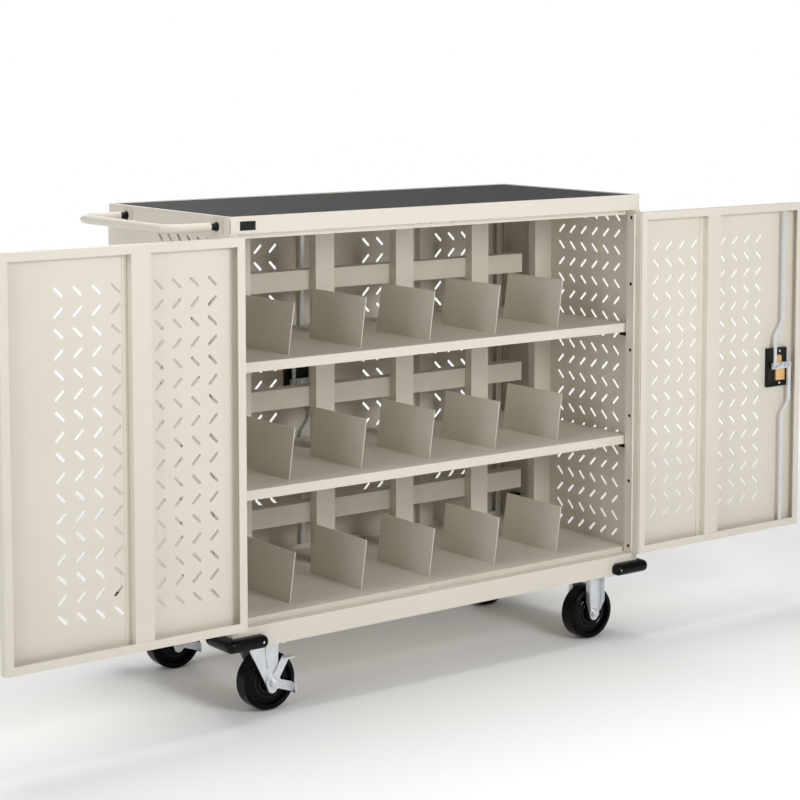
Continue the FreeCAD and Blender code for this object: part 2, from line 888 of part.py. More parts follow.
def latch_rod(where, label, up):
    """Flat latch rod with a jog: an eye on the cam's pin at one end, the bolt end at the other."""
    body = new_body("latch_rod")
    arm = d.cam_pin_arm
    middle = d.latch_height
    half = d.rod_width / 2
    # the door's hinge side lies at +X here, because a latched door runs to -X from its hinge
    pin_x = -cam_centre + arm if up else -cam_centre - arm
    far_x = -cam_centre
    inward = -1 if up else 1
    jog_start = d.upper_jog_start if up else -d.lower_jog_start
    jog_end = d.upper_jog_end if up else -d.lower_jog_end
    far_z = door_top - d.sheet / 4 if up else door_bottom + d.sheet / 4
    swing = arm * (1 - math.cos(math.radians(float(d.latch_turn))))
    eye_near = d.cam_pin_radius + d.rod_side_play
    eye_far = eye_near + swing
    eye_half = d.cam_pin_radius + d.rod_lift_play
    wall = d.rod_eye_wall
    tail = (eye_half + wall) * (-1 if up else 1)
    shoulder = -tail
    outer_x = pin_x - (eye_near + wall) * inward
    inner_x = pin_x + (eye_far + wall) * inward
    stem_inner = pin_x + half * inward
    pad(body, "XZ", rod_front, rod_back, polygon,
        (outer_x, middle + tail), (inner_x, middle + tail), (inner_x, middle + shoulder),
        (stem_inner, middle + shoulder), (stem_inner, middle + jog_start),
        (far_x + half * inward, middle + jog_end), (far_x + half * inward, far_z),
        (far_x - half * inward, far_z), (far_x - half * inward, middle + jog_end),
        (pin_x - half * inward, middle + jog_start), (pin_x - half * inward, middle + shoulder),
        (outer_x, middle + shoulder))
    pocket(body, "XZ", rod_front, rod_back, rectangle,
           pin_x - eye_near * inward, middle - eye_half, pin_x + eye_far * inward, middle + eye_half)
    node(where(body), label)


def keeper(z_flange, upward, rear):
    """Angle riveted beside the door's top or bottom edge, with a hole at each side for a rod."""
    wall = d.sheet
    wall_face = d.shelf_setback - wall
    tall = d.header_drop - d.sheet if upward else d.bottom_shelf_rise - d.sheet
    if upward:
        flange_low = z_flange - wall
        plate_low = flange_low - tall + wall
    else:
        flange_low = z_flange
        plate_low = z_flange
    y_front = front_plane + d.shelf_setback - d.keeper_reach
    y_wall = front_plane + wall_face
    if rear:
        y_front = rear_plane - d.shelf_setback
        y_wall = rear_plane - d.shelf_setback
    flange = box(-d.keeper_width / 2, y_front, flange_low, d.keeper_width, d.keeper_reach, wall)
    plate = box(-d.keeper_width / 2, y_wall, plate_low, d.keeper_width, wall, tall)
    y_rod = rear_plane + d.hinge_offset - rod_back if rear else front_plane - d.hinge_offset + rod_front
    holes = [rod_hole(side * keeper_hole_x, y_rod, flange_low, wall) for side in (-1, 1)]
    return cut(fuse(flange, plate), *holes)


def keepers():
    angles = [keeper(tray_bottom, True, rear) for rear in (False, True)]
    angles += [keeper(ledge, False, rear) for rear in (False, True)]
    node(group(*angles), "keepers")


def rivet(x, z, rear):
    """Domed rivet head on a keeper's upright plate."""
    head = new_body("rivet")
    face = d.shelf_setback - d.sheet
    low = rear_plane - face if rear else front_plane + face - d.rivet_head
    pad(head, "XZ", low, low + d.rivet_head, circle, x, z, d.rivet_radius)
    return place(head)


def caster_bolt(x, y):
    """Plate bolt: its head under the caster plate and its shank through plate and pad."""
    bolt = new_body("caster_bolt")
    head_low = plate_bottom - d.caster_bolt_head
    pad(bolt, "XY", head_low, plate_bottom, circle, x, y, d.caster_bolt_radius * 1.7)
    shank = d.caster_bolt_radius - d.king_pin_clearance
    pad(bolt, "XY", plate_bottom, d.caster_height, circle, x, y, shank)
    return place(bolt)


def fasteners():
    """Keeper rivets and caster plate bolts."""
    pieces = []
    upper_z = tray_bottom - d.header_drop + d.rivet_radius + d.sheet
    lower_z = ledge + d.bottom_shelf_rise / 2 + d.sheet / 4
    for rear in (False, True):
        for z in (upper_z, lower_z):
            for x in (-d.rivet_spacing / 2, d.rivet_spacing / 2):
                pieces.append(rivet(x, z, rear))
    for plate_x in (king_x, rigid_x):
        for plate_y in (caster_front, caster_rear):
            for x_side in (-1, 1):
                for y_side in (-1, 1):
                    x = plate_x + x_side * d.caster_bolt_spacing_x / 2
                    pieces.append(caster_bolt(x, plate_y + y_side * d.caster_bolt_spacing_y / 2))
    node(group(*pieces), "fasteners")


# Push handle and bumpers


def push_handle():
    """U-shaped tube beside the left end of the tray, held by its two collars."""
    body = new_body("push_handle")
    level = d.tray_top - d.handle_drop
    y_front = front_plane + d.handle_front
    y_rear = y_front + d.handle_span
    x_end = -half_width - d.collar_length
    x_far = -half_width - d.handle_reach + d.handle_radius
    bend = d.handle_bend
    path = sketch_on(body, "XY", level)
    corners = [
        (x_end, y_front), (x_far + bend, y_front), (x_far, y_front + bend),
        (x_far, y_rear - bend), (x_far + bend, y_rear), (x_end, y_rear),
    ]
    flat = [Vector(float(x), float(y), 0) for x, y in corners]
    radius = float(bend)
    front_centre = Vector(float(x_far + bend), float(y_front + bend), 0)
    rear_centre = Vector(float(x_far + bend), float(y_rear - bend), 0)
    quarter_turn = math.pi / 2

    def arc(centre, begin):
        ring = Part.Circle(centre, Vector(0, 0, 1), radius)
        return Part.ArcOfCircle(ring, begin, begin + quarter_turn)

    path.addGeometry(Part.LineSegment(flat[0], flat[1]), False)
    path.addGeometry(arc(front_centre, math.pi), False)
    path.addGeometry(Part.LineSegment(flat[2], flat[3]), False)
    path.addGeometry(arc(rear_centre, quarter_turn), False)
    path.addGeometry(Part.LineSegment(flat[4], flat[5]), False)
    # an arc starts at its lower angle, so each joint names the end that meets the straight run
    for first, first_end, second, second_end in ((0, 2, 1, 2), (1, 1, 2, 1), (2, 2, 3, 2), (3, 1, 4, 1)):
        path.addConstraint(Sketcher.Constraint("Coincident", first, first_end, second, second_end))
    for geometry, point, corner in ((0, 1, 0), (0, 2, 1), (2, 1, 2), (2, 2, 3), (4, 1, 4), (4, 2, 5)):
        fix_point(path, geometry, point, *corners[corner])
    for geometry in (1, 3):
        limit = path.addConstraint(Sketcher.Constraint("Radius", geometry, radius))
        path.setExpression(f"Constraints[{limit}]", text_of(bend))
    section = sketch_on(body, "YZ", x_end)
    circle(section, y_front, level, d.handle_radius)
    tube = body.newObject("PartDesign::AdditivePipe", "tube")
    tube.Profile = section
    tube.Spine = path
    node(place(body), "push_handle")


def handle_collars():
    """Black bell-shaped collars that join the handle's ends to the tray."""
    collars = []
    level = d.tray_top - d.handle_drop
    for y in (front_plane + d.handle_front, front_plane + d.handle_front + d.handle_span):
        body = new_body("collar")
        revolve(body,
                (0, 0), (0, d.collar_radius), (-d.collar_flange, d.collar_radius),
                (-d.collar_flange, d.collar_shoulder_radius), (-d.collar_length, d.collar_neck_radius),
                (-d.collar_length, 0), axis="H_Axis")
        collars.append(place(body, -half_width, y, level))
    node(group(*collars), "handle_collars")


def bumper(side, rear):
    """Corner bumper of two round-ended legs, one along the front or rear and one along the end."""
    body = new_body("bumper")
    x = half_width * side
    y = rear_plane if rear else front_plane
    outward = 1 if rear else -1
    half = d.bumper_height / 2
    middle = d.caster_height + d.bumper_rise + half
    proud = d.bumper_proud
    x_ends = [x + side * proud - side * half, x - side * d.bumper_leg + side * half]
    y_ends = [y + outward * proud - outward * half, y - outward * d.bumper_leg + outward * half]
    x_low, x_high = sorted(x_ends, key=float)
    y_low, y_high = sorted(y_ends, key=float)
    face = y + outward * proud
    low, high = sorted((y, face), key=float)
    pad(body, "XZ", low, high, rectangle, x_low, middle - half, x_high, middle + half)
    for end in x_ends:
        pad(body, "XZ", low, high, circle, end, middle, half)
    end_face = x + side * proud
    low, high = sorted((x, end_face), key=float)
    pad(body, "YZ", low, high, rectangle, y_low, middle - half, y_high, middle + half)
    for end in y_ends:
        pad(body, "YZ", low, high, circle, end, middle, half)
    return place(body)


def bumpers():
    node(group(*[bumper(side, rear) for side in (-1, 1) for rear in (False, True)]), "bumpers")


# Casters


def wheel(label, x, y):
    """Moulded wheel: a bored hub, a dished web and a rim with a round-shouldered tread."""
    body = new_body("wheel")
    bore = d.axle_radius + d.axle_clearance
    half = d.wheel_width / 2
    web = half - d.rim_depth
    rim = d.wheel_radius - d.rim_depth * 2
    right = [
        (bore, half), (d.hub_radius, half), (d.hub_radius + d.hub_step, web), (rim, web),
        (rim + d.hub_step, half), (d.wheel_radius, half),
    ]
    left = [(radius, -along) for radius, along in reversed(right)]
    turned = revolve(body, *(left + right))
    rim_edges = round_edges(body, turned, d.wheel_crown, lambda edge: ring_radius(edge, d.wheel_radius))
    inner = rim + d.hub_step
    round_edges(body, rim_edges, d.hub_step / 2, lambda edge: ring_radius(edge, inner, d.hub_radius))
    node(place(body, x, y, d.wheel_radius), label)


def ring_radius(edge, *sizes):
    """Whether an edge is a full ring of one of these radii."""
    bound = edge.BoundBox
    return any(abs(bound.XLength / 2 - float(size)) < 0.01 for size in sizes) and bound.YLength < 0.01


def axle(x, y, head_extra):
    """Axle bolt with a head at each end, outside the fork (and the lever, where there is one)."""
    body = new_body("axle")
    reach = fork_outer / 2
    front = -reach - head_extra
    head = d.axle_head_length
    revolve(body,
            (0, front - head), (d.axle_head_radius, front - head), (d.axle_head_radius, front),
            (d.axle_radius, front), (d.axle_radius, reach), (d.axle_head_radius, reach),
            (d.axle_head_radius, reach + head), (0, reach + head))
    return place(body, x, y, d.wheel_radius)


def fork_legs(body, half, top, trail, taper_from, tip_drop):
    """Two legs that taper to round tips below the axle, joined by a crown on top."""
    reach = fork_outer / 2
    tip = d.fork_tip_radius
    axle_z = d.wheel_radius
    tip_z = axle_z - tip_drop
    pad(body, "XZ", -reach, reach, polygon,
        (-half, top), (-half, taper_from), (trail - tip, tip_z), (trail + tip, tip_z),
        (half, taper_from), (half, top))
    pad(body, "XZ", -reach, reach, circle, trail, tip_z, tip)
    side = tip + half + d.caster_trail
    pocket(body, "YZ", -side, side * 2, rectangle,
           -fork_inner / 2, tip_z - tip * 2, fork_inner / 2, top - d.fork_crown)
    pocket(body, "XZ", -reach, reach, circle, trail, axle_z, d.axle_radius + d.axle_clearance)


def swivel_fork(label, y):
    """Swivelling fork, turning on the king pin below the plate's race."""
    body = new_body("swivel_fork")
    zero = Size(0, "0")
    shoulder = crown_top - d.fork_crown * 3
    fork_legs(body, d.fork_half_length, crown_top, d.caster_trail, shoulder, d.swivel_tip_drop)
    pocket(body, "XY", crown_top - d.fork_crown * 2, crown_top, circle, zero, zero,
           d.king_pin_radius + d.king_pin_clearance)
    node(place(body, king_x, y, 0), label)


def swivel_plate(y):
    """Top plate with the bearing race and the king pin under it."""
    body = new_body("swivel_plate")
    zero = Size(0, "0")
    caster_plate(body)
    pad(body, "XY", race_bottom, plate_bottom, circle, zero, zero, d.race_radius)
    pin_low = crown_top - d.fork_crown - d.race_gap
    pad(body, "XY", pin_low, race_bottom, circle, zero, zero, d.king_pin_radius)
    pad(body, "XY", pin_low - d.king_pin_head, pin_low, circle, zero, zero, d.king_pin_head_radius)
    return place(body, king_x, y, 0)


def caster_plate(body):
    """Bolting plate with four holes, centred on the body's own axis."""
    pad(body, "XY", plate_bottom, d.caster_height, rectangle,
        -d.caster_plate_length / 2, -d.caster_plate_width / 2,
        d.caster_plate_length / 2, d.caster_plate_width / 2)
    for x_side in (-1, 1):
        for y_side in (-1, 1):
            pocket(body, "XY", plate_bottom, d.caster_height, circle,
                   x_side * d.caster_bolt_spacing_x / 2, y_side * d.caster_bolt_spacing_y / 2,
                   d.caster_bolt_radius)


def rigid_fork(y):
    """Fixed fork with its plate in one piece."""
    body = new_body("rigid_fork")
    zero = Size(0, "0")
    shoulder = d.wheel_radius + d.rigid_taper
    fork_legs(body, d.rigid_half_length, plate_bottom, zero, shoulder, d.rigid_tip_drop)
    caster_plate(body)
    return place(body, rigid_x, y, 0)


def brake_lever(label, y):
    """Two-armed foot lever on the axle, outside the fork, with a tab at each arm's end."""
    body = new_body("brake_lever")
    back = -fork_outer / 2 - d.lever_plate_gap
    front = back - d.lever_plate
    half = d.brake_arm_width / 2
    zero = Size(0, "0")
    pad(body, "XZ", front, back, circle, zero, zero, d.brake_hub_radius)
    up_x = d.brake_upper_x
    up_z = d.brake_upper_z
    low_x = d.brake_lower_x
    low_z = -d.brake_lower_z
    pad(body, "XZ", front, back, polygon,
        (-half, zero), (half, zero), (up_x + half, up_z), (up_x - half, up_z))
    pad(body, "XZ", front, back, polygon,
        (zero, -half), (low_x, low_z - half), (low_x, low_z + half), (zero, half))
    tab_front = front - d.brake_tab
    pad(body, "XZ", tab_front, front, rectangle,
        up_x - half, up_z - d.lever_plate, up_x + half, up_z)
    pad(body, "XZ", tab_front, front, rectangle,
        low_x - d.lever_plate, low_z - half, low_x, low_z + half)
    pocket(body, "XZ", front, back, circle, zero, zero, d.axle_radius + d.brake_hole_clearance)
    node(place(body, swivel_x, y, d.wheel_radius), label)


def casters():
    lever_room = d.lever_plate + d.lever_plate_gap * 2
    plates = []
    forks = []
    axles = []
    for name, y in (("front", caster_front), ("rear", caster_rear)):
        plates.append(swivel_plate(y))
        swivel_fork(f"{name}_swivel_fork", y)
        node(axle(swivel_x, y, lever_room), f"{name}_swivel_axle")
        wheel(f"{name}_swivel_wheel", swivel_x, y)
        brake_lever(f"{name}_brake_lever", y)
        forks.append(rigid_fork(y))
        axles.append(axle(rigid_x, y, Size(0, "0")))
        wheel(f"{name}_rigid_wheel", rigid_x, y)
    node(group(*plates), "swivel_plates")
    node(group(*forks), "rigid_forks")
    node(group(*axles), "rigid_axles")


# Power


def power_strip(top):
    """Power strip on the rear of the uprights, with outlets and a button facing the rear bay."""
    body = new_body("power_strip")
    low_x = -d.strip_length / 2
    y_low = front_plane + d.upright_setback + d.upright_depth
    y_high = y_low + d.strip_depth
    z_low = top + d.strip_rise
    middle = z_low + d.strip_height / 2
    pad(body, "YZ", low_x, low_x + d.strip_length, rectangle, y_low, z_low, y_high, z_low + d.strip_height)
    wall = d.strip_wall
    seat_wall = d.button_length + d.button_travel
    pocket(body, "YZ", low_x, low_x + d.strip_length, rectangle,
           y_low + wall, z_low + wall, y_high - seat_wall, z_low + d.strip_height - wall)
    button_x = d.strip_length / 2 - d.button_inset
    seat = d.button_length - d.button_proud + d.button_travel + d.button_clearance
    pocket(body, "XZ", y_high - seat, y_high, circle, button_x, middle, d.button_radius + d.button_clearance)
    first = low_x + d.outlet_first
    half = d.outlet_size / 2
    outlet = pocket(body, "XZ", y_high - d.outlet_depth, y_high, rectangle,
                    first - half, middle - half, first + half, middle + half)
    pattern = body.newObject("PartDesign::LinearPattern", "outlets")
    pattern.Originals = [outlet]
    pattern.Direction = (outlet.Profile[0], ["H_Axis"])
    count = int(d.outlet_count)
    pattern.Occurrences = count
    bind(pattern, Length=d.outlet_pitch * (count - 1))
    body.Tip = pattern
    return place(body)


def power_button(top, label):
    """Push button that travels in the strip's bore."""
    body = new_body("power_button")
    y_face = front_plane + d.upright_setback + d.upright_depth + d.strip_depth
    low = y_face + d.button_proud - d.button_length
    middle = top + d.strip_rise + d.strip_height / 2
    pad(body, "XZ", low, low + d.button_length, circle, d.strip_length / 2 - d.button_inset, middle,
        d.button_radius)
    node(place(body), label)


def mains_inlet():
    """Flanged mains socket in the right side sheet, with three contact pins."""
    body = new_body("mains_inlet")
    y = rear_plane - d.inlet_setback
    z = ledge + d.inlet_rise
    face = half_width + d.inlet_flange
    floor = half_width - d.inlet_body_depth

    def centred(sketch, width, height):
        rectangle(sketch, y - width / 2, z - height / 2, y + width / 2, z + height / 2)

    pad(body, "YZ", half_width, face, centred, d.inlet_width, d.inlet_height)
    pad(body, "YZ", floor, half_width, centred, d.inlet_body_width, d.inlet_body_height)
    wall = d.inlet_wall * 2
    pocket(body, "YZ", floor + d.inlet_wall, face, centred,
           d.inlet_body_width - wall, d.inlet_body_height - wall)
    half = d.inlet_pin_width / 2
    for place_y, place_z in ((-1, -0.4), (1, -0.4), (0, 0.5)):
        pin_y = y + d.inlet_pin_pitch * place_y
        pin_z = z + d.inlet_pin_pitch * place_z
        pad(body, "YZ", floor + d.inlet_wall, floor + d.inlet_wall + d.inlet_pin_length, rectangle,
            pin_y - half, pin_z - half * 2, pin_y + half, pin_z + half * 2)
    node(place(body), "mains_inlet")


def power():
    levels = (("lower", bottom_shelf_top), ("middle", d.middle_shelf_top), ("upper", d.upper_shelf_top))
    node(group(*[power_strip(top) for _, top in levels]), "power_strips")
    for name, top in levels:
        power_button(top, f"{name}_power_button")
    mains_inlet()


def hung_on(side, rear):
    """Places a door's pieces: front doors stand open, rear doors are closed."""
    y = rear_plane + d.hinge_offset if rear else front_plane - d.hinge_offset
    # a door that runs to +X from its hinge when closed hangs on the left at the front
    x = axis_x if (side > 0) == rear else -axis_x

    def where(thing):
        return place(thing, x, y, 0, turn=180)

    return where


def doors():
    leaves = []
    pins = []
    for name, side, rear in (("front_left", 1, False), ("front_right", -1, False),
                             ("rear_right", 1, True), ("rear_left", -1, True)):
        where = hung_on(side, rear)
        latched = side < 0
        door_pan(side, latched, f"{name}_door", where)
        stiffener(side, f"{name}_stiffener", where)
        node(where(hinge_leaf(side, False)), f"{name}_door_leaf")
        # the fixed leaf keeps the closed door's attitude: turned only on the rear doors
        fixed = where(hinge_leaf(side, True))
        fixed.Placement.Rotation = Rotation(Vector(0, 0, 1), 180 if rear else 0)
        leaves.append(fixed)
        pins.append(where(hinge_pin()))
        bind(pins[-1], Placement__Base__z=door_bottom + d.hinge_inset)
        if latched:
            end = name.split("_")[0]
            latch_housing(where, f"{end}_lock_housing", rear)
            if not rear:
                lock_body(where, f"{end}_lock_body")
            lock_cam(where, f"{end}_lock_cam")
            lock_lever(where, f"{end}_lock_lever")
            latch_rod(where, f"{end}_upper_rod", True)
            latch_rod(where, f"{end}_lower_rod", False)
    node(group(*leaves), "hinge_leaves")
    node(group(*pins), "hinge_pins")


side_panel(-1, "left_side_panel")
side_panel(1, "right_side_panel")
posts = [
    corner_post(side, y)
    for side in (-1, 1)
    for y in (front_plane, rear_plane - d.post_depth)
]
node(group(*posts), "corner_posts")
tray()
mat()
headers()
base_frame()
shelves()
shelf_clips()
uprights()
dividers()
doors()
keepers()
fasteners()
push_handle()
handle_collars()
bumpers()
casters()
power()
doc.recompute()

for thing in doc.Objects:
    if "Invalid" in thing.State or "Error" in thing.State:
        raise RuntimeError(f"{thing.Label} failed: {thing.State}")
for thing in nodes:
    if thing.Shape.isNull() or not thing.Shape.isValid():
        raise RuntimeError(f"{thing.Label} has no valid shape")

os.makedirs("parts", exist_ok=True)
for thing in nodes:
    thing.Shape.exportStep(f"parts/{thing.Label}.step")
    print(thing.Label, len(thing.Shape.Solids), round(thing.Shape.Volume))
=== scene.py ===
import math

import bpy
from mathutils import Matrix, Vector


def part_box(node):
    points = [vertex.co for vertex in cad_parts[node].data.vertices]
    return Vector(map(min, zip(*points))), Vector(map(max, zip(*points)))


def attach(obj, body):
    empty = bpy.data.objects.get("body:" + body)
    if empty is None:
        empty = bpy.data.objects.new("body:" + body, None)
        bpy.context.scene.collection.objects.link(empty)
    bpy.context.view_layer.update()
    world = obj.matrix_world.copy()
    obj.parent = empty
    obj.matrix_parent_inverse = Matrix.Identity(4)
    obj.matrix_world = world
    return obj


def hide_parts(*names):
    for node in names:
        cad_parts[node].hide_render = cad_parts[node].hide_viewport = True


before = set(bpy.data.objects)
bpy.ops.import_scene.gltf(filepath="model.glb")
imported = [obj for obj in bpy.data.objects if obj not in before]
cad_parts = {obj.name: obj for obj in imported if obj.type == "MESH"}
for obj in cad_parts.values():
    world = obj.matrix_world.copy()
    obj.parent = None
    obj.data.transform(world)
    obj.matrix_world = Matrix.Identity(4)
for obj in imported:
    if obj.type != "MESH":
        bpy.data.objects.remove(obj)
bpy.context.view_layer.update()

MM = 0.001
# Points as near to a face as this are taken to lie on it.
TOUCH = 0.1 * MM
# Points as near to each other as this are made one.
MERGE = 0.01 * MM
ENDS = ("front", "rear")
LEVELS = ("lower", "middle", "upper")
SIDES = (("left", -1), ("right", 1))


# Colours and the nodes of a material


def linear(code):
    """An sRGB hex colour as linear red, green, blue and alpha."""
    parts = [int(code[i:i + 2], 16) / 255 for i in (1, 3, 5)]
    return [c / 12.92 if c <= 0.04045 else ((c + 0.055) / 1.055) ** 2.4 for c in parts] + [1.0]


def add(tree, kind, settings=None, links=None):
    """Adds one node with its settings and links; a link names the socket and where it comes from."""
    made = tree.nodes.new(kind)
    for name, value in (settings or {}).items():
        if name in made.inputs:
            made.inputs[name].default_value = value
        else:
            setattr(made, name, value)
    for name, source in (links or {}).items():
        tree.links.new(source, made.inputs[name])
    return made


def new_material(name, **shader):
    """A material with a principled shader whose even values are set on its own sockets."""
    made = bpy.data.materials.new(name)
    made.use_nodes = True
    surface = made.node_tree.nodes["Principled BSDF"]
    for socket, value in shader.items():
        surface.inputs[socket.replace("_", " ")].default_value = value
    made.diffuse_color = surface.inputs["Base Color"].default_value
    return made, made.node_tree, surface


# A mix node's colour sockets share their names with its number sockets, so they go by place.
MIX_COLOURS = (6, 7)
MIX_RESULT = 2


def drift(tree, surface, size, detail, colours, roughness=None):
    """Lets the colour, and the roughness if it is given, drift together in patches of about this size."""
    where = add(tree, "ShaderNodeTexCoord")
    patches = add(tree, "ShaderNodeTexNoise", {"Scale": 1 / size, "Detail": detail},
                  {"Vector": where.outputs["Object"]})
    blend = add(tree, "ShaderNodeMix", {"data_type": "RGBA"}, {"Factor": patches.outputs["Fac"]})
    for place, colour in zip(MIX_COLOURS, colours):
        blend.inputs[place].default_value = linear(colour)
    tree.links.new(blend.outputs[MIX_RESULT], surface.inputs["Base Color"])
    if roughness:
        low, high = roughness
        spread = add(tree, "ShaderNodeMapRange", {"To Min": low, "To Max": high},
                     {"Value": patches.outputs["Fac"]})
        tree.links.new(spread.outputs["Result"], surface.inputs["Roughness"])


GRAIN_STRENGTH = 0.12


def grain(tree, surface, size, detail, depth):
    """Gives the surface a faint relief with grains of about this size."""
    where = add(tree, "ShaderNodeTexCoord")
    specks = add(tree, "ShaderNodeTexNoise", {"Scale": 1 / size, "Detail": detail},
                 {"Vector": where.outputs["Object"]})
    bump = add(tree, "ShaderNodeBump", {"Strength": GRAIN_STRENGTH, "Distance": depth},
               {"Height": specks.outputs["Fac"]})
    tree.links.new(bump.outputs["Normal"], surface.inputs["Normal"])


# Materials


def powder_coat(name, light, dark):
    # Powder-coated sheet steel: baked epoxy flows out into a soft sheen with a faint orange peel,
    # and its colour drifts very slightly from place to place.
    made, tree, surface = new_material(name, Base_Color=linear(light), IOR=1.5)
    # The colour drifts in patches of about 180 mm.
    drift(tree, surface, size=180 * MM, detail=2.0, colours=(light, dark), roughness=(0.38, 0.5))
    # The peel is about 1 mm across in life; it is drawn at 3 mm so that it shows.
    grain(tree, surface, size=3 * MM, detail=1.0, depth=0.05 * MM)
    return made


# At a scale of 1, Blender's wave texture repeats after this many units.
WAVE_REPEAT = 2 * math.pi / 20


def ribbed_mat():
    # Calendered nitrile matting: fine straight ribs, a dull face and a grey bloom that comes and goes.
    made, tree, surface = new_material("ribbed_rubber_mat", Base_Color=linear("#3B3B3B"), Roughness=0.78,
                                       Specular_IOR_Level=0.2)
    # The bloom has patches of about 60 mm.
    drift(tree, surface, size=60 * MM, detail=4.0, colours=("#343434", "#424141"))
    where = add(tree, "ShaderNodeTexCoord")
    # Ribs are 3 mm apart in life; they are drawn at 6 mm so that they show.
    ribs = add(tree, "ShaderNodeTexWave",
               {"Scale": WAVE_REPEAT / (6 * MM), "wave_type": "BANDS", "bands_direction": "Y"},
               {"Vector": where.outputs["Object"]})
    bump = add(tree, "ShaderNodeBump", {"Strength": 0.5, "Distance": 0.5 * MM},
               {"Height": ribs.outputs["Fac"]})
    tree.links.new(bump.outputs["Normal"], surface.inputs["Normal"])
    return made


def moulded(name, colour, worn, roughness, gloss):
    # Moulded plastic, vinyl or phenolic: a close-grained skin with a soft gloss and a few duller patches.
    made, tree, surface = new_material(name, Base_Color=linear(colour), Specular_IOR_Level=gloss)
    # Dull patches are about 25 mm across.
    drift(tree, surface, size=25 * MM, detail=3.0, colours=(colour, worn),
          roughness=(roughness - 0.06, roughness + 0.1))
    # The mould's spark-eroded grain is about 0.8 mm; it is drawn at 2 mm so that it shows.
    grain(tree, surface, size=2 * MM, detail=2.0, depth=0.04 * MM)
    return made


def zinc_plate():
    # Bright zinc plating on pressed steel: pale, slightly blue metal, cloudy where the bath has dulled it.
    made, tree, surface = new_material("bright_zinc_steel", Base_Color=linear("#E4E7EA"), Metallic=0.8)
    # Clouding in the plating is about 12 mm across.
    drift(tree, surface, size=12 * MM, detail=3.0, colours=("#EDF0F3", "#CFD4D9"), roughness=(0.28, 0.46))
    return made


def yellow_zinc():
    # Yellow chromate on zinc die-cast: a warm brassy metal with a faint rainbow haze.
    made, tree, surface = new_material("yellow_chromate_zinc", Base_Color=linear("#E6C079"), Metallic=0.55)
    # Haze patches are about 10 mm across.
    drift(tree, surface, size=10 * MM, detail=2.0, colours=("#F0CB82", "#E3A673"), roughness=(0.3, 0.45))
    return made


PUTTY = powder_coat("putty_powder_coat", "#E0DACE", "#D8D1C3")
MAT = ribbed_mat()
# Case plastic: a quiet black whose edges show.
BLACK_ABS = moulded("black_moulded_abs", "#101010", "#171717", roughness=0.38, gloss=0.2)
# Wheel phenolic: so near black that only its curves catch the light.
PHENOLIC = moulded("black_phenolic_wheel", "#040404", "#080808", roughness=0.22, gloss=0.1)
# The same phenolic where it is rubbed: thin bright lines round the wheels.
RUBBED_PHENOLIC = moulded("black_phenolic_rubbed", "#050505", "#090909", roughness=0.18, gloss=0.5)
# Vinyl: a deep black with one long soft highlight.
VINYL = moulded("black_vinyl_bumper", "#060606", "#0C0C0C", roughness=0.22, gloss=0.16)
ZINC = zinc_plate()
BRASS = yellow_zinc()
# Button plastic: a plain warning red.
RED = moulded("red_moulded_button", "#A4201A", "#8E1B16", roughness=0.35, gloss=0.4)
# Strip plastic: near the cabinet's putty, but duller.
PUTTY_ABS = moulded("putty_moulded_abs", "#D6CFC2", "#CEC7B9", roughness=0.45, gloss=0.3)

finish_of = {"mat": MAT, "bumpers": VINYL, "front_lock_body": BRASS, "power_strips": PUTTY_ABS}
for name in ("shelf_clips", "handle_collars", "front_lock_housing", "rear_lock_housing", "mains_inlet",
             "front_lock_lever", "rear_lock_lever"):
    finish_of[name] = BLACK_ABS
for level in LEVELS:
    finish_of[f"{level}_power_button"] = RED
for end in ENDS:
    finish_of[f"{end}_swivel_wheel"] = PHENOLIC
    finish_of[f"{end}_rigid_wheel"] = PHENOLIC
    for part in ("lock_cam", "upper_rod", "lower_rod", "swivel_fork", "swivel_axle", "brake_lever"):
        finish_of[f"{end}_{part}"] = ZINC
for name in ("fasteners", "hinge_pins", "swivel_plates", "rigid_forks", "rigid_axles"):
    finish_of[name] = ZINC

for name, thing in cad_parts.items():
    thing.data.materials.clear()
    thing.data.materials.append(finish_of.get(name, PUTTY))


# Ways to model a piece

# Turns that lay a piece, which stands along Z, along another axis.
ALONG_X = (0, math.radians(90), 0)
ALONG_Y = (math.radians(90), 0, 0)
# Edges that turn by less than this are shaded smooth.
SMOOTH_BELOW = math.radians(35)
# Two unit vectors point the same way when their product is above this.
SAME_WAY = 0.99


def corners(box):
    """A box's lowest and highest corners as vectors."""
    return [Vector(corner) for corner in box]


def choose(piece):
    """Selects one piece alone and makes it the active one."""
    bpy.ops.object.select_all(action="DESELECT")
    piece.select_set(True)
    bpy.context.view_layer.objects.active = piece


def begin(name, make, **settings):
    """Starts a piece from a primitive and works its place and size into the mesh."""
    bpy.ops.object.select_all(action="DESELECT")
    make(**settings)
    piece = bpy.context.object
    piece.name = name
    bpy.ops.object.transform_apply(location=True, rotation=True, scale=True)
    return piece


def block(name, low, high):
    """A block between two corners, in metres."""
    middle = [(a + b) / 2 for a, b in zip(low, high)]
    size = [b - a for a, b in zip(low, high)]
    return begin(name, bpy.ops.mesh.primitive_cube_add, size=1, location=middle, scale=size)


def stub(name, sides, radius, length, middle, turn):
    """A prism or cylinder about its middle, standing along Z before its turn."""
    return begin(name, bpy.ops.mesh.primitive_cylinder_add, vertices=sides, radius=radius, depth=length,
                 location=middle, rotation=turn)


def clear_picks(piece, kind):
    """Makes a piece active in object mode, with nothing of its mesh selected."""
    bpy.context.view_layer.objects.active = piece
    bpy.ops.object.mode_set(mode="EDIT")
    bpy.ops.mesh.select_mode(type=kind)
    bpy.ops.mesh.select_all(action="DESELECT")
    bpy.ops.object.mode_set(mode="OBJECT")


def pick_faces(piece, wanted):
    """Enters edit mode with only the faces that a test picks selected."""
    clear_picks(piece, "FACE")
    for face in piece.data.polygons:
        face.select = wanted(face)
    bpy.ops.object.mode_set(mode="EDIT")


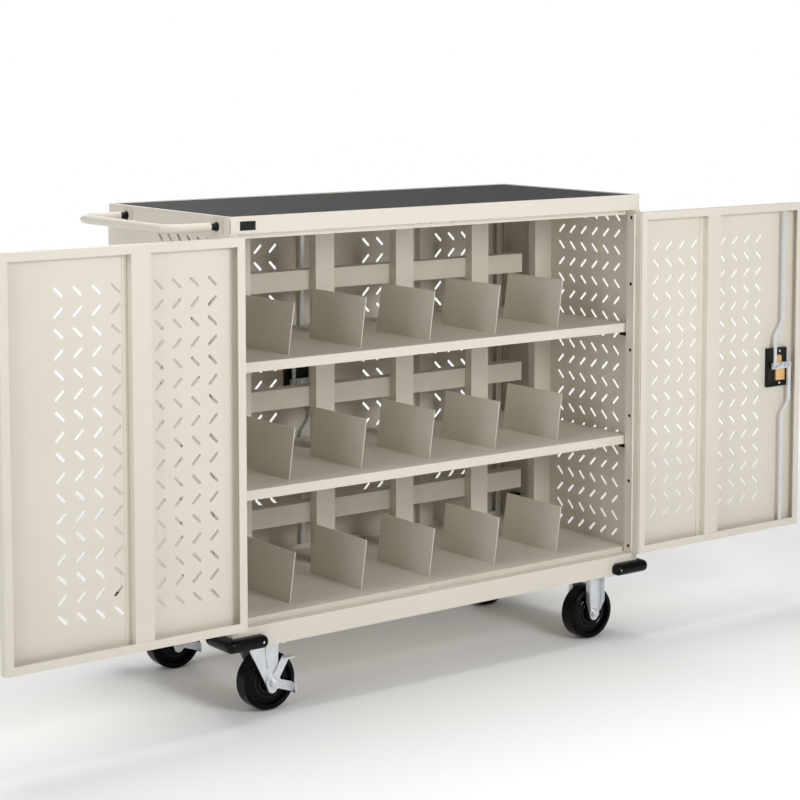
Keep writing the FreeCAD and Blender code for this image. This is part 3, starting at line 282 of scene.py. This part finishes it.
def pick_edges(piece, wanted):
    """Enters edit mode with only the edges whose two ends pass a test selected."""
    clear_picks(piece, "EDGE")
    points = piece.data.vertices
    for edge in piece.data.edges:
        edge.select = wanted(*[points[index].co for index in edge.vertices])
    bpy.ops.object.mode_set(mode="EDIT")


def leave():
    """Goes back to object mode."""
    bpy.ops.object.mode_set(mode="OBJECT")


def round_all(piece, radius, segments):
    """Rounds every edge of a piece."""
    pick_faces(piece, lambda face: True)
    bpy.ops.mesh.bevel(offset=radius, segments=segments, affect="EDGES")
    leave()


def dish(piece, wanted, border, depth):
    """Sinks the picked faces, or raises them for a negative depth, inside a border."""
    pick_faces(piece, wanted)
    bpy.ops.mesh.inset(thickness=border, depth=-depth)
    leave()


def push(x, y, z):
    """Moves the picked faces and draws new sides after them, then leaves edit mode."""
    bpy.ops.mesh.extrude_region_move(TRANSFORM_OT_translate={"value": (x, y, z)})
    leave()


def facing(x, y, z):
    """A test for faces that look this way."""
    way = Vector((x, y, z))
    return lambda face: face.normal.dot(way) > SAME_WAY


def largest_facing(piece, x, y, z):
    """A test for the largest face that looks this way."""
    looks = facing(x, y, z)
    best = max((face for face in piece.data.polygons if looks(face)), key=lambda face: face.area).index
    return lambda face: face.index == best


def split_at(piece, point, normal):
    """Cuts all of a piece's faces along a plane, without parting it."""
    pick_faces(piece, lambda face: True)
    bpy.ops.mesh.bisect(plane_co=point, plane_no=normal)
    leave()


def finish(piece, material, body):
    """Gives a modelled piece its finish and its body."""
    choose(piece)
    bpy.ops.object.shade_smooth_by_angle(angle=SMOOTH_BELOW)
    piece.data.materials.clear()
    piece.data.materials.append(material)
    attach(piece, body)


def twin(piece, name, shift):
    """A moved copy with its own mesh."""
    choose(piece)
    bpy.ops.object.duplicate()
    copy = bpy.context.object
    copy.name = name
    copy.location = shift
    bpy.ops.object.transform_apply(location=True, rotation=True, scale=True)
    return copy


def copies(first, places, material):
    """Puts copies in place of a modelled piece; a place is a copy's name, its shift and its body."""
    for name, shift, body in places:
        finish(twin(first, name, shift), material, body)
    bpy.data.objects.remove(first)


# Screw heads and nuts that several fittings share

HEAD_ROUND = 0.3 * MM
HEAD_RIM = 1.2 * MM
HEAD_SUNK = 0.5 * MM


def shape_head(screw, out):
    """Rounds a screw's head and sinks a recess in the face that looks outward."""
    round_all(screw, HEAD_ROUND, segments=2)
    dish(screw, largest_facing(screw, *out), HEAD_RIM, HEAD_SUNK)


def hexagon(way, radius, length, edge, rim, crown):
    """Nut along Y at the origin, with rounded edges and a raised middle on the side that looks this way."""
    piece = stub("hexagon", 6, radius, length, (0, 0, 0), ALONG_Y)
    round_all(piece, edge, segments=2)
    dish(piece, largest_facing(piece, 0, way, 0), rim, -crown)
    return piece


# Tray fittings

tray_low, tray_high = corners(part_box("tray"))
PLATE_LENGTH = 38 * MM
PLATE_HEIGHT = 19 * MM
PLATE_THICKNESS = 0.8 * MM
PLATE_FROM_END = 25 * MM
PLATE_FROM_TOP = 10 * MM
PLATE_ROUND = 0.25 * MM
PLATE_BORDER = 1.2 * MM
PLATE_SUNK = 0.2 * MM


def name_plate():
    """Plain black plate at the left end of the tray's front, with a thin border."""
    left = tray_low.x + PLATE_FROM_END
    top = tray_high.z - PLATE_FROM_TOP
    piece = block("name_plate", (left, tray_low.y - PLATE_THICKNESS, top - PLATE_HEIGHT),
                  (left + PLATE_LENGTH, tray_low.y, top))
    round_all(piece, PLATE_ROUND, segments=2)
    dish(piece, largest_facing(piece, 0, -1, 0), PLATE_BORDER, PLATE_SUNK)
    finish(piece, BLACK_ABS, "cabinet")


HANDLE_PLATE_HALF = 21 * MM
HANDLE_PLATE_DOWN = 13 * MM
HANDLE_PLATE_UP = 17 * MM
HANDLE_PLATE_THICKNESS = 2.2 * MM
HANDLE_PLATE_ROUND = 0.5 * MM
HANDLE_PLATE_BORDER = 2.5 * MM
HANDLE_PLATE_CROWN = 0.2 * MM
COLLAR_RADIUS = 9.5 * MM


def handle_plates():
    """Square backing plates between the handle's collars and the tray."""
    low, high = corners(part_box("handle_collars"))
    level = (low.z + high.z) / 2
    face = tray_low.x - HANDLE_PLATE_THICKNESS
    first = block("handle_plate", (face, -HANDLE_PLATE_HALF, level - HANDLE_PLATE_DOWN),
                  (tray_low.x, HANDLE_PLATE_HALF, level + HANDLE_PLATE_UP))
    round_all(first, HANDLE_PLATE_ROUND, segments=2)
    dish(first, largest_facing(first, -1, 0, 0), HANDLE_PLATE_BORDER, -HANDLE_PLATE_CROWN)
    places = [("front_handle_plate", (0, low.y + COLLAR_RADIUS, 0), "cabinet"),
              ("rear_handle_plate", (0, high.y - COLLAR_RADIUS, 0), "cabinet")]
    copies(first, places, PUTTY)


# Hinge screws

SCREW_COUNT = 6
SCREW_SIDES = 20
SCREW_RADIUS = 4 * MM
SCREW_PROUD = 0.35 * MM
SCREW_ROUND = 0.12 * MM
SCREW_RIM = 1.1 * MM
SCREW_SUNK = 0.1 * MM
SCREW_END_GAP = 10 * MM
LEAF_WIDTH = 18 * MM
LEAF_FROM_AXIS = 0.3 * MM
KNUCKLE_RADIUS = 2.6 * MM
KNUCKLE_GAP = 0.4 * MM


def hinge_screws():
    """Flat black screw heads in a row up the middle of each fixed hinge leaf."""
    low, high = corners(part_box("hinge_leaves"))
    # The box ends at the knuckles: the leaf's middle and its face are measured from there.
    edge = KNUCKLE_RADIUS * 2 + KNUCKLE_GAP + LEAF_WIDTH / 2
    face = high.x - KNUCKLE_RADIUS + LEAF_FROM_AXIS
    bottom = low.z + SCREW_END_GAP
    pitch = (high.z - low.z - SCREW_END_GAP * 2) / (SCREW_COUNT - 1)
    first = stub("hinge_screw", SCREW_SIDES, SCREW_RADIUS, SCREW_PROUD, (0, 0, 0), ALONG_X)
    round_all(first, SCREW_ROUND, segments=1)
    for way in (-1, 1):
        dish(first, largest_facing(first, way, 0, 0), SCREW_RIM, SCREW_SUNK)
    places = []
    for side, x in (("left", -face + SCREW_PROUD / 2), ("right", face - SCREW_PROUD / 2)):
        for end, y in (("front", low.y + edge), ("rear", high.y - edge)):
            for number in range(SCREW_COUNT):
                spot = (x, y, bottom + pitch * number)
                places.append((f"{end}_{side}_hinge_screw_{number + 1}", spot, "cabinet"))
    copies(first, places, BLACK_ABS)


# Corner bumpers

bumper_low, bumper_high = corners(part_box("bumpers"))
BUMPER_LEG = 80 * MM
BUMPER_ROUND = 13.2 * MM
BUMPER_HOLE_SIDES = 24
BUMPER_HOLE_RADIUS = 4.5 * MM
BUMPER_HOLE_DEPTH = 7 * MM
BUMPER_HOLE_FROM_END = 14 * MM
BUMPER_SCREW_RADIUS = 3.8 * MM
BUMPER_SCREW_HEAD = 2 * MM


def sunk_screw(part, number, mouth, turn, out):
    """Drills a hole in a bumper and sets a screw's head at the bottom of it."""
    drill = stub("drill", BUMPER_HOLE_SIDES, BUMPER_HOLE_RADIUS, BUMPER_HOLE_DEPTH * 2, mouth, turn)
    bpy.context.view_layer.objects.active = part
    cutter = part.modifiers.new("hole", "BOOLEAN")
    cutter.operation = "DIFFERENCE"
    cutter.object = drill
    bpy.ops.object.modifier_apply(modifier=cutter.name)
    bpy.data.objects.remove(drill)
    seat = mouth - out * (BUMPER_HOLE_DEPTH - BUMPER_SCREW_HEAD / 2)
    screw = stub(f"{part.name}_screw_{number}", BUMPER_HOLE_SIDES, BUMPER_SCREW_RADIUS, BUMPER_SCREW_HEAD,
                 seat, turn)
    shape_head(screw, out)
    finish(screw, ZINC, "cabinet")


def bumper(name, side, end):
    """Moulded L-shaped bumper with a half-round outer face; side and end say which corner it is for."""
    body_x = tray_high.x * side
    body_y = tray_high.y if end > 0 else tray_low.y
    outer_x = bumper_high.x * side
    outer_y = bumper_high.y if end > 0 else bumper_low.y
    leg_x = body_x - side * BUMPER_LEG
    leg_y = body_y - end * BUMPER_LEG
    low = (min(leg_x, outer_x), min(body_y, outer_y), bumper_low.z)
    high = (max(leg_x, outer_x), max(body_y, outer_y), bumper_high.z)
    piece = block(name, low, high)
    split_at(piece, (body_x, 0, 0), (1, 0, 0))
    beside = facing(0, -end, 0)
    pick_faces(piece, lambda face: beside(face) and face.center.x * side > body_x * side)
    push(0, leg_y - body_y, 0)

    def off_cabinet(*ends):
        """Edges that don't lie flat on the cabinet or along the seam between the two legs."""
        on_front = all(abs(point.y - body_y) < TOUCH for point in ends)
        on_side = all(abs(point.x - body_x) < TOUCH for point in ends)
        return not (on_front or on_side)

    pick_edges(piece, off_cabinet)
    bpy.ops.mesh.bevel(offset=BUMPER_ROUND, segments=8, affect="EDGES", clamp_overlap=True)
    leave()
    middle = (bumper_low.z + bumper_high.z) / 2
    hole_x = leg_x + side * BUMPER_HOLE_FROM_END
    hole_y = leg_y + end * BUMPER_HOLE_FROM_END
    sunk_screw(piece, 1, Vector((hole_x, outer_y, middle)), ALONG_Y, Vector((0, end, 0)))
    sunk_screw(piece, 2, Vector((outer_x, hole_y, middle)), ALONG_X, Vector((side, 0, 0)))
    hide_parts("bumpers")
    finish(piece, VINYL, "cabinet")


# Latch fittings

COVER_RISE = 3 * MM
COVER_WALL = 5 * MM
COVER_FLOOR = 0.4 * MM
COVER_ROUND = 0.8 * MM
LOCK_SCREW_SIDES = 20
LOCK_SCREW_RADIUS = 3.2 * MM
LOCK_SCREW_LENGTH = 1.4 * MM
LOCK_SCREW_OUT = 0.9 * MM


def lock_cover():
    """Raised rim round the front lock's housing, with a screw at each end."""
    low, high = corners(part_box("front_lock_housing"))
    piece = block("front_lock_cover", (low.x, low.y - COVER_RISE, low.z), (high.x, low.y, high.z))
    round_all(piece, COVER_ROUND, segments=2)
    dish(piece, largest_facing(piece, 0, -1, 0), COVER_WALL, COVER_RISE - COVER_FLOOR)
    finish(piece, BLACK_ABS, "front_right_door")
    body_low, body_high = corners(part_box("front_lock_body"))
    middle = (body_low.x + body_high.x) / 2
    first = stub("lock_screw", LOCK_SCREW_SIDES, LOCK_SCREW_RADIUS, LOCK_SCREW_LENGTH,
                 (middle, low.y - LOCK_SCREW_OUT, 0), ALONG_Y)
    shape_head(first, (0, -1, 0))
    places = []
    for number, z in enumerate(((low.z + body_low.z) / 2, (high.z + body_high.z) / 2), start=1):
        places.append((f"front_lock_screw_{number}", (0, 0, z), "front_right_door"))
    copies(first, places, ZINC)


# The step's place, as shares of the lock body's height and width
LOCK_STEP_HEIGHT = 0.64
LOCK_STEP_WIDTH = 0.62
LOCK_TOP_ROUND = 7 * MM
LOCK_BORDER = 0.6 * MM
LOCK_CROWN = 0.1 * MM


def lock_face():
    """Die-cast lock body with a narrower, round-topped upper part, in place of its plain block."""
    low, high = corners(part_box("front_lock_body"))
    step_z = low.z + (high.z - low.z) * LOCK_STEP_HEIGHT
    step_x = low.x + (high.x - low.x) * LOCK_STEP_WIDTH
    piece = block("front_lock_face", low, (high.x, high.y, step_z))
    split_at(piece, (step_x, 0, 0), (1, 0, 0))
    above = facing(0, 0, 1)
    pick_faces(piece, lambda face: above(face) and face.center.x < step_x)
    push(0, 0, high.z - step_z)

    def across_top(start, end):
        """Edges that run along Y at the very top."""
        return min(start.z, end.z) > high.z - TOUCH and abs(start.x - end.x) < TOUCH

    pick_edges(piece, across_top)
    bpy.ops.mesh.bevel(offset=LOCK_TOP_ROUND, segments=6, affect="EDGES")
    leave()
    dish(piece, facing(0, -1, 0), LOCK_BORDER, -LOCK_CROWN)
    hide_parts("front_lock_body")
    finish(piece, BRASS, "front_right_door")


CAM_NUT = {"radius": 7 * MM, "length": 2.6 * MM, "edge": 0.4 * MM, "rim": 2.2 * MM, "crown": 0.5 * MM}
CAM_TO_RODS = 0.5 * MM


def cam_nuts():
    """Hexagon nut that holds each cam on its spindle."""
    places = []
    for end in ENDS:
        low, high = corners(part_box(f"{end}_lock_cam"))
        rod_high = corners(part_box(f"{end}_upper_rod"))[1]
        # The nut's seat is the face of the cam beside the rods' layer.
        face = rod_high.y + CAM_TO_RODS
        spot = ((low.x + high.x) / 2, face - CAM_NUT["length"] / 2, (low.z + high.z) / 2)
        places.append((f"{end}_cam_nut", spot, f"{end}_latch"))
    copies(hexagon(-1, **CAM_NUT), places, ZINC)


# Caster fittings

AXLE_NUT = {"radius": 9 * MM, "length": 2.5 * MM, "edge": 0.5 * MM, "rim": 3.2 * MM, "crown": 0.8 * MM}
AXLE_NUT_SUNK = 0.5 * MM


def axle_nuts():
    """Chamfered hexagon on each end of the axle bolts."""
    axles = []
    for end in ENDS:
        low, high = corners(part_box(f"{end}_swivel_axle"))
        axles.append((f"{end}_swivel", f"{end}_swivel", low, high))
    low, high = corners(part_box("rigid_axles"))
    wheel_low, wheel_high = corners(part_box("front_rigid_wheel"))
    middle = (wheel_low.y + wheel_high.y) / 2
    half = middle - low.y
    axles.append(("front_rigid", "cabinet", low, Vector((high.x, middle + half, high.z))))
    axles.append(("rear_rigid", "cabinet", Vector((low.x, high.y - half * 2, low.z)), high))
    for number, way in enumerate((-1, 1), start=1):
        places = []
        for name, body, low, high in axles:
            end_y = low.y if way < 0 else high.y
            y = end_y + way * (AXLE_NUT["length"] / 2 - AXLE_NUT_SUNK)
            spot = ((low.x + high.x) / 2, y, (low.z + high.z) / 2)
            places.append((f"{name}_axle_nut_{number}", spot, body))
        copies(hexagon(way, **AXLE_NUT), places, ZINC)


WHEEL_TO_LEG_FACE = 6 * MM


def leg_faces(wheel):
    """The Y of the outer faces of the two fork legs beside a wheel, the front one first."""
    low, high = corners(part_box(wheel))
    return low.y - WHEEL_TO_LEG_FACE, high.y + WHEEL_TO_LEG_FACE


WING_THICKNESS = 2.5 * MM
WING_DEPTH = 11 * MM
WING_DEPTH_AT_TIP = 4 * MM
WING_TOP_GAP = 1 * MM
WING_ROUND = 0.8 * MM
RIGID_TAPER_START = 93.5 * MM
RIGID_TAPER_RUN = (8 * MM, 25 * MM)
RIGID_LEG_HALF = 23 * MM
CASTER_PLATE_UNDERSIDE = 153 * MM


def fork_wing(edge, side, way):
    """Folded wing at one edge of a rigid fork's leg; it follows the taper and narrows to its tip."""
    inward, down = RIGID_TAPER_RUN
    inner = edge - side * WING_THICKNESS
    out = way * WING_DEPTH
    piece = block("fork_wing", (min(edge, inner), min(0, out), RIGID_TAPER_START),
                  (max(edge, inner), max(0, out), CASTER_PLATE_UNDERSIDE - WING_TOP_GAP))
    pick_faces(piece, facing(0, 0, -1))
    push(-side * inward, 0, -down)

    def outer_tip(*ends):
        """The edge at the bottom that lies furthest from the leg."""
        low_down = all(point.z < RIGID_TAPER_START - down / 2 for point in ends)
        far_out = all(point.y * way > WING_DEPTH / 2 for point in ends)
        return low_down and far_out

    pick_edges(piece, outer_tip)
    bpy.ops.transform.translate(value=(0, way * (WING_DEPTH_AT_TIP - WING_DEPTH), 0))
    leave()
    round_all(piece, WING_ROUND, segments=2)
    return piece


def fork_wings():
    """Folded wings up both edges of each rigid fork's legs."""
    low, high = corners(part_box("rigid_forks"))
    middle = (low.x + high.x) / 2
    for side_name, side in SIDES:
        for leg, way in enumerate((-1, 1)):
            places = []
            for end in ENDS:
                y = leg_faces(f"{end}_rigid_wheel")[leg]
                places.append((f"{end}_rigid_{side_name}_wing_{leg + 1}", (0, y, 0), "cabinet"))
            first = fork_wing(middle + side * RIGID_LEG_HALF, side, way)
            copies(first, places, ZINC)


BEAD_TOP = 144 * MM
BEAD_BOTTOM = 96 * MM
BEAD_WIDTH = 5 * MM
BEAD_PROUD = 2.5 * MM
BEAD_LEAN = 5 * MM
BEAD_ROUND = 0.8 * MM


def fork_beads():
    """Pressed stiffening bead down the middle of each swivel fork's legs."""
    for leg, way in enumerate((-1, 1)):
        places = []
        for end in ENDS:
            low, high = corners(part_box(f"{end}_swivel_fork"))
            y = leg_faces(f"{end}_swivel_wheel")[leg]
            places.append((f"{end}_swivel_bead_{leg + 1}", ((low.x + high.x) / 2, y, 0), f"{end}_swivel"))
        crown = way * BEAD_PROUD
        first = block("fork_bead", (0, min(0, crown), BEAD_BOTTOM), (BEAD_WIDTH, max(0, crown), BEAD_TOP))
        pick_faces(first, facing(0, 0, -1))
        bpy.ops.transform.translate(value=(BEAD_LEAN, 0, 0))
        leave()
        round_all(first, BEAD_ROUND, segments=2)
        copies(first, places, ZINC)


RING_RADII = (25 * MM, 36 * MM)
RING_HALF = 1.5 * MM
RING_SIDES = 10
RING_STEPS = 64
WEB_FROM_FACE = 8 * MM


def wheel_ring(radius):
    """Ring about the Y axis at the origin: a small circle that is spun through a full turn."""
    # The quarter turn puts a corner of the circle's polygon at the ring's outside.
    piece = begin("wheel_ring", bpy.ops.mesh.primitive_circle_add, vertices=RING_SIDES, radius=RING_HALF,
                  location=(radius, 0, 0), rotation=(0, 0, math.radians(90)))
    pick_edges(piece, lambda *ends: True)
    bpy.ops.mesh.spin(steps=RING_STEPS, angle=math.radians(360), center=(0, 0, 0), axis=(0, 1, 0))
    bpy.ops.mesh.select_all(action="SELECT")
    bpy.ops.mesh.remove_doubles(threshold=MERGE)
    bpy.ops.mesh.normals_make_consistent(inside=False)
    leave()
    return piece


def wheel_rings():
    """Moulded rings round both sides of each wheel's web, rubbed brighter than the rest."""
    for number, radius in enumerate(RING_RADII, start=1):
        places = []
        for wheel in ("front_swivel_wheel", "rear_swivel_wheel", "front_rigid_wheel", "rear_rigid_wheel"):
            low, high = corners(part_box(wheel))
            middle = (low + high) / 2
            for side, y in (("front", low.y + WEB_FROM_FACE), ("rear", high.y - WEB_FROM_FACE)):
                places.append((f"{wheel}_{side}_ring_{number}", (middle.x, y, middle.z), wheel))
        copies(wheel_ring(radius), places, RUBBED_PHENOLIC)


# Keeper rivets

RIVET_SPREAD = 64 * MM
RIVET_RADIUS = 4.6 * MM
RIVET_DOME = 2 * MM
RIVET_LEVELS = (("lower", 208.9 * MM), ("upper", 1022 * MM))
KEEPER_FLANGE = 18.5 * MM


def keeper_rivets():
    """Domed head over each rivet of the four keepers: a ball that is flattened along Y."""
    first = begin("rivet", bpy.ops.mesh.primitive_uv_sphere_add, segments=20, ring_count=10,
                  radius=RIVET_RADIUS)
    pick_faces(first, lambda face: True)
    bpy.ops.transform.resize(value=(1, RIVET_DOME / RIVET_RADIUS, 1), center_override=(0, 0, 0))
    leave()
    low, high = corners(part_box("keepers"))
    places = []
    for end, y in (("front", low.y + KEEPER_FLANGE), ("rear", high.y - KEEPER_FLANGE)):
        for level, z in RIVET_LEVELS:
            for side_name, side in SIDES:
                spot = (side * RIVET_SPREAD / 2, y, z)
                places.append((f"{end}_{level}_{side_name}_rivet", spot, "cabinet"))
    copies(first, places, ZINC)


# Outlet faces

OUTLET_COUNT = 12
OUTLET_PITCH = 72 * MM
OUTLET_FIRST = 60 * MM
OUTLET_HALF = 14.7 * MM
OUTLET_DEPTH = 3 * MM
OUTLET_SET_BACK = 0.4 * MM
OUTLET_ROUND = 0.5 * MM
SOCKET_SUNK = 1.8 * MM
BLADE_SLOT = (2 * MM, 8 * MM)
BLADE_PLACE = 6.5 * MM
EARTH_HALF = 2.4 * MM


def outlet_face():
    """One black socket face with two blade slots and an earth hole, facing +Y at the origin."""
    half = OUTLET_HALF
    piece = block("outlet_face", (-half, -OUTLET_DEPTH, -half), (half, -OUTLET_SET_BACK, half))
    round_all(piece, OUTLET_ROUND, segments=1)
    width, height = BLADE_SLOT
    earth_top = -height + EARTH_HALF * 2
    for x in (-BLADE_PLACE - width / 2, -BLADE_PLACE + width / 2, -EARTH_HALF, EARTH_HALF,
              BLADE_PLACE - width / 2, BLADE_PLACE + width / 2):
        split_at(piece, (x, 0, 0), (1, 0, 0))
    for z in (0, height, earth_top, -height):
        split_at(piece, (0, 0, z), (0, 0, 1))
    front = facing(0, 1, 0)

    def in_socket(face):
        """Faces of the front that lie in a blade's slot or in the earth hole."""
        spot = face.center
        blade = abs(abs(spot.x) - BLADE_PLACE) < width / 2 and 0 < spot.z < height
        earth = abs(spot.x) < EARTH_HALF and -height < spot.z < earth_top
        return front(face) and (blade or earth)

    pick_faces(piece, in_socket)
    push(0, -SOCKET_SUNK, 0)
    return piece


def outlets():
    """Socket faces in the recesses along the rear of the three power strips."""
    low, high = corners(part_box("power_strips"))
    places = []
    for level in LEVELS:
        button_low, button_high = corners(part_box(f"{level}_power_button"))
        z = (button_low.z + button_high.z) / 2
        for number in range(OUTLET_COUNT):
            spot = (low.x + OUTLET_FIRST + OUTLET_PITCH * number, high.y, z)
            places.append((f"{level}_outlet_{number + 1}", spot, "cabinet"))
    copies(outlet_face(), places, BLACK_ABS)


name_plate()
handle_plates()
hinge_screws()
for side_name, side in SIDES:
    for end_name, end in (("front", -1), ("rear", 1)):
        bumper(f"{end_name}_{side_name}_bumper", side, end)
lock_cover()
lock_face()
cam_nuts()
axle_nuts()
fork_wings()
fork_beads()
wheel_rings()
keeper_rivets()
outlets()


# Studio: white paper floor, soft light and the camera; lengths are in metres

WHITE = linear("#FFFFFF")
FLOOR_SIZE = 60
FLOOR_DROP = 0.5 * MM
PAPER_LIT_TO = 1.6
PAPER_WHITE_FROM = 3.2
ROOM_LIGHT = 0.24


def paper_floor():
    """White paper that is lit near the object and runs out into plain white further off."""
    bpy.ops.object.select_all(action="DESELECT")
    bpy.ops.mesh.primitive_plane_add(size=FLOOR_SIZE, location=(0, 0, -FLOOR_DROP))
    floor = bpy.context.object
    floor.name = "studio_floor"
    # Matt studio paper: a soft white without any shine, which takes the object's shadow.
    paper, tree, surface = new_material("white_studio_paper", Base_Color=linear("#F7F7F7"), Roughness=0.95,
                                        Specular_IOR_Level=0.0)
    where = add(tree, "ShaderNodeTexCoord")
    reach = add(tree, "ShaderNodeVectorMath", {"operation": "LENGTH"})
    tree.links.new(where.outputs["Object"], reach.inputs[0])
    far = add(tree, "ShaderNodeMapRange", {"From Min": PAPER_LIT_TO, "From Max": PAPER_WHITE_FROM},
              {"Value": reach.outputs["Value"]})
    glow = add(tree, "ShaderNodeEmission", {"Color": WHITE, "Strength": 1.0})
    fade = add(tree, "ShaderNodeMixShader", None, {"Fac": far.outputs["Result"]})
    tree.links.new(surface.outputs["BSDF"], fade.inputs[1])
    tree.links.new(glow.outputs["Emission"], fade.inputs[2])
    tree.links.new(fade.outputs["Shader"], tree.nodes["Material Output"].inputs["Surface"])
    floor.data.materials.append(paper)


def studio_world():
    """Plain white behind the object for the lens, and a softer even light on the object."""
    world = bpy.data.worlds.new("studio")
    bpy.context.scene.world = world
    world.use_nodes = True
    sky = world.node_tree
    room = sky.nodes["Background"]
    room.inputs["Color"].default_value = WHITE
    room.inputs["Strength"].default_value = ROOM_LIGHT
    paper_wall = add(sky, "ShaderNodeBackground", {"Color": WHITE, "Strength": 1.0})
    ray = add(sky, "ShaderNodeLightPath")
    seen = add(sky, "ShaderNodeMixShader", None, {"Fac": ray.outputs["Is Camera Ray"]})
    sky.links.new(room.outputs["Background"], seen.inputs[1])
    sky.links.new(paper_wall.outputs["Background"], seen.inputs[2])
    sky.links.new(seen.outputs["Shader"], sky.nodes["World Output"].inputs["Surface"])


def softbox(name, place, aim, width, height, watts):
    """A rectangular soft light that points at a spot and doesn't show itself to the lens."""
    light = bpy.data.lights.new(name, "AREA")
    light.shape = "RECTANGLE"
    light.size = width
    light.size_y = height
    light.energy = watts
    box = bpy.data.objects.new(name, light)
    bpy.context.collection.objects.link(box)
    box.visible_camera = False
    box.location = place
    box.rotation_euler = (Vector(aim) - Vector(place)).to_track_quat("-Z", "Y").to_euler()


paper_floor()
studio_world()
bpy.context.scene.view_settings.view_transform = "Standard"
softbox("key_light", place=(0.2, -3.0, 1.7), aim=(0, 0, 0.62), width=1.2, height=1.0, watts=42)
softbox("fill_light", place=(-4.2, -1.2, 2.0), aim=(-0.4, 0, 0.6), width=2.0, height=2.0, watts=44)
softbox("top_light", place=(0, 0.4, 4.4), aim=(0, 0.3, 0.5), width=3.2, height=2.6, watts=104)
softbox("rear_light", place=(0.6, 3.8, 2.0), aim=(0, 0.2, 0.6), width=2.6, height=1.8, watts=34)

IMAGE_SIZE = 800
FOCAL_PIXELS = 2107.8
# The lens is shifted a little, so its axis meets the picture in this row and the uprights lean less.
AXIS_ROW = 250
SENSOR_WIDTH = 36
CAMERA_PLACE = (-2.8822, -3.8882, 1.4062)
DEGREES_DOWN = 5.418
DEGREES_RIGHT = 37.029

camera_data = bpy.data.cameras.new("camera")
camera = bpy.data.objects.new("camera", camera_data)
bpy.context.collection.objects.link(camera)
bpy.context.scene.camera = camera
camera_data.sensor_width = SENSOR_WIDTH
camera_data.lens = FOCAL_PIXELS / IMAGE_SIZE * SENSOR_WIDTH
camera_data.shift_y = -(IMAGE_SIZE / 2 - AXIS_ROW) / IMAGE_SIZE
camera.location = CAMERA_PLACE
camera.rotation_euler = (math.radians(90 - DEGREES_DOWN), 0, math.radians(-DEGREES_RIGHT))
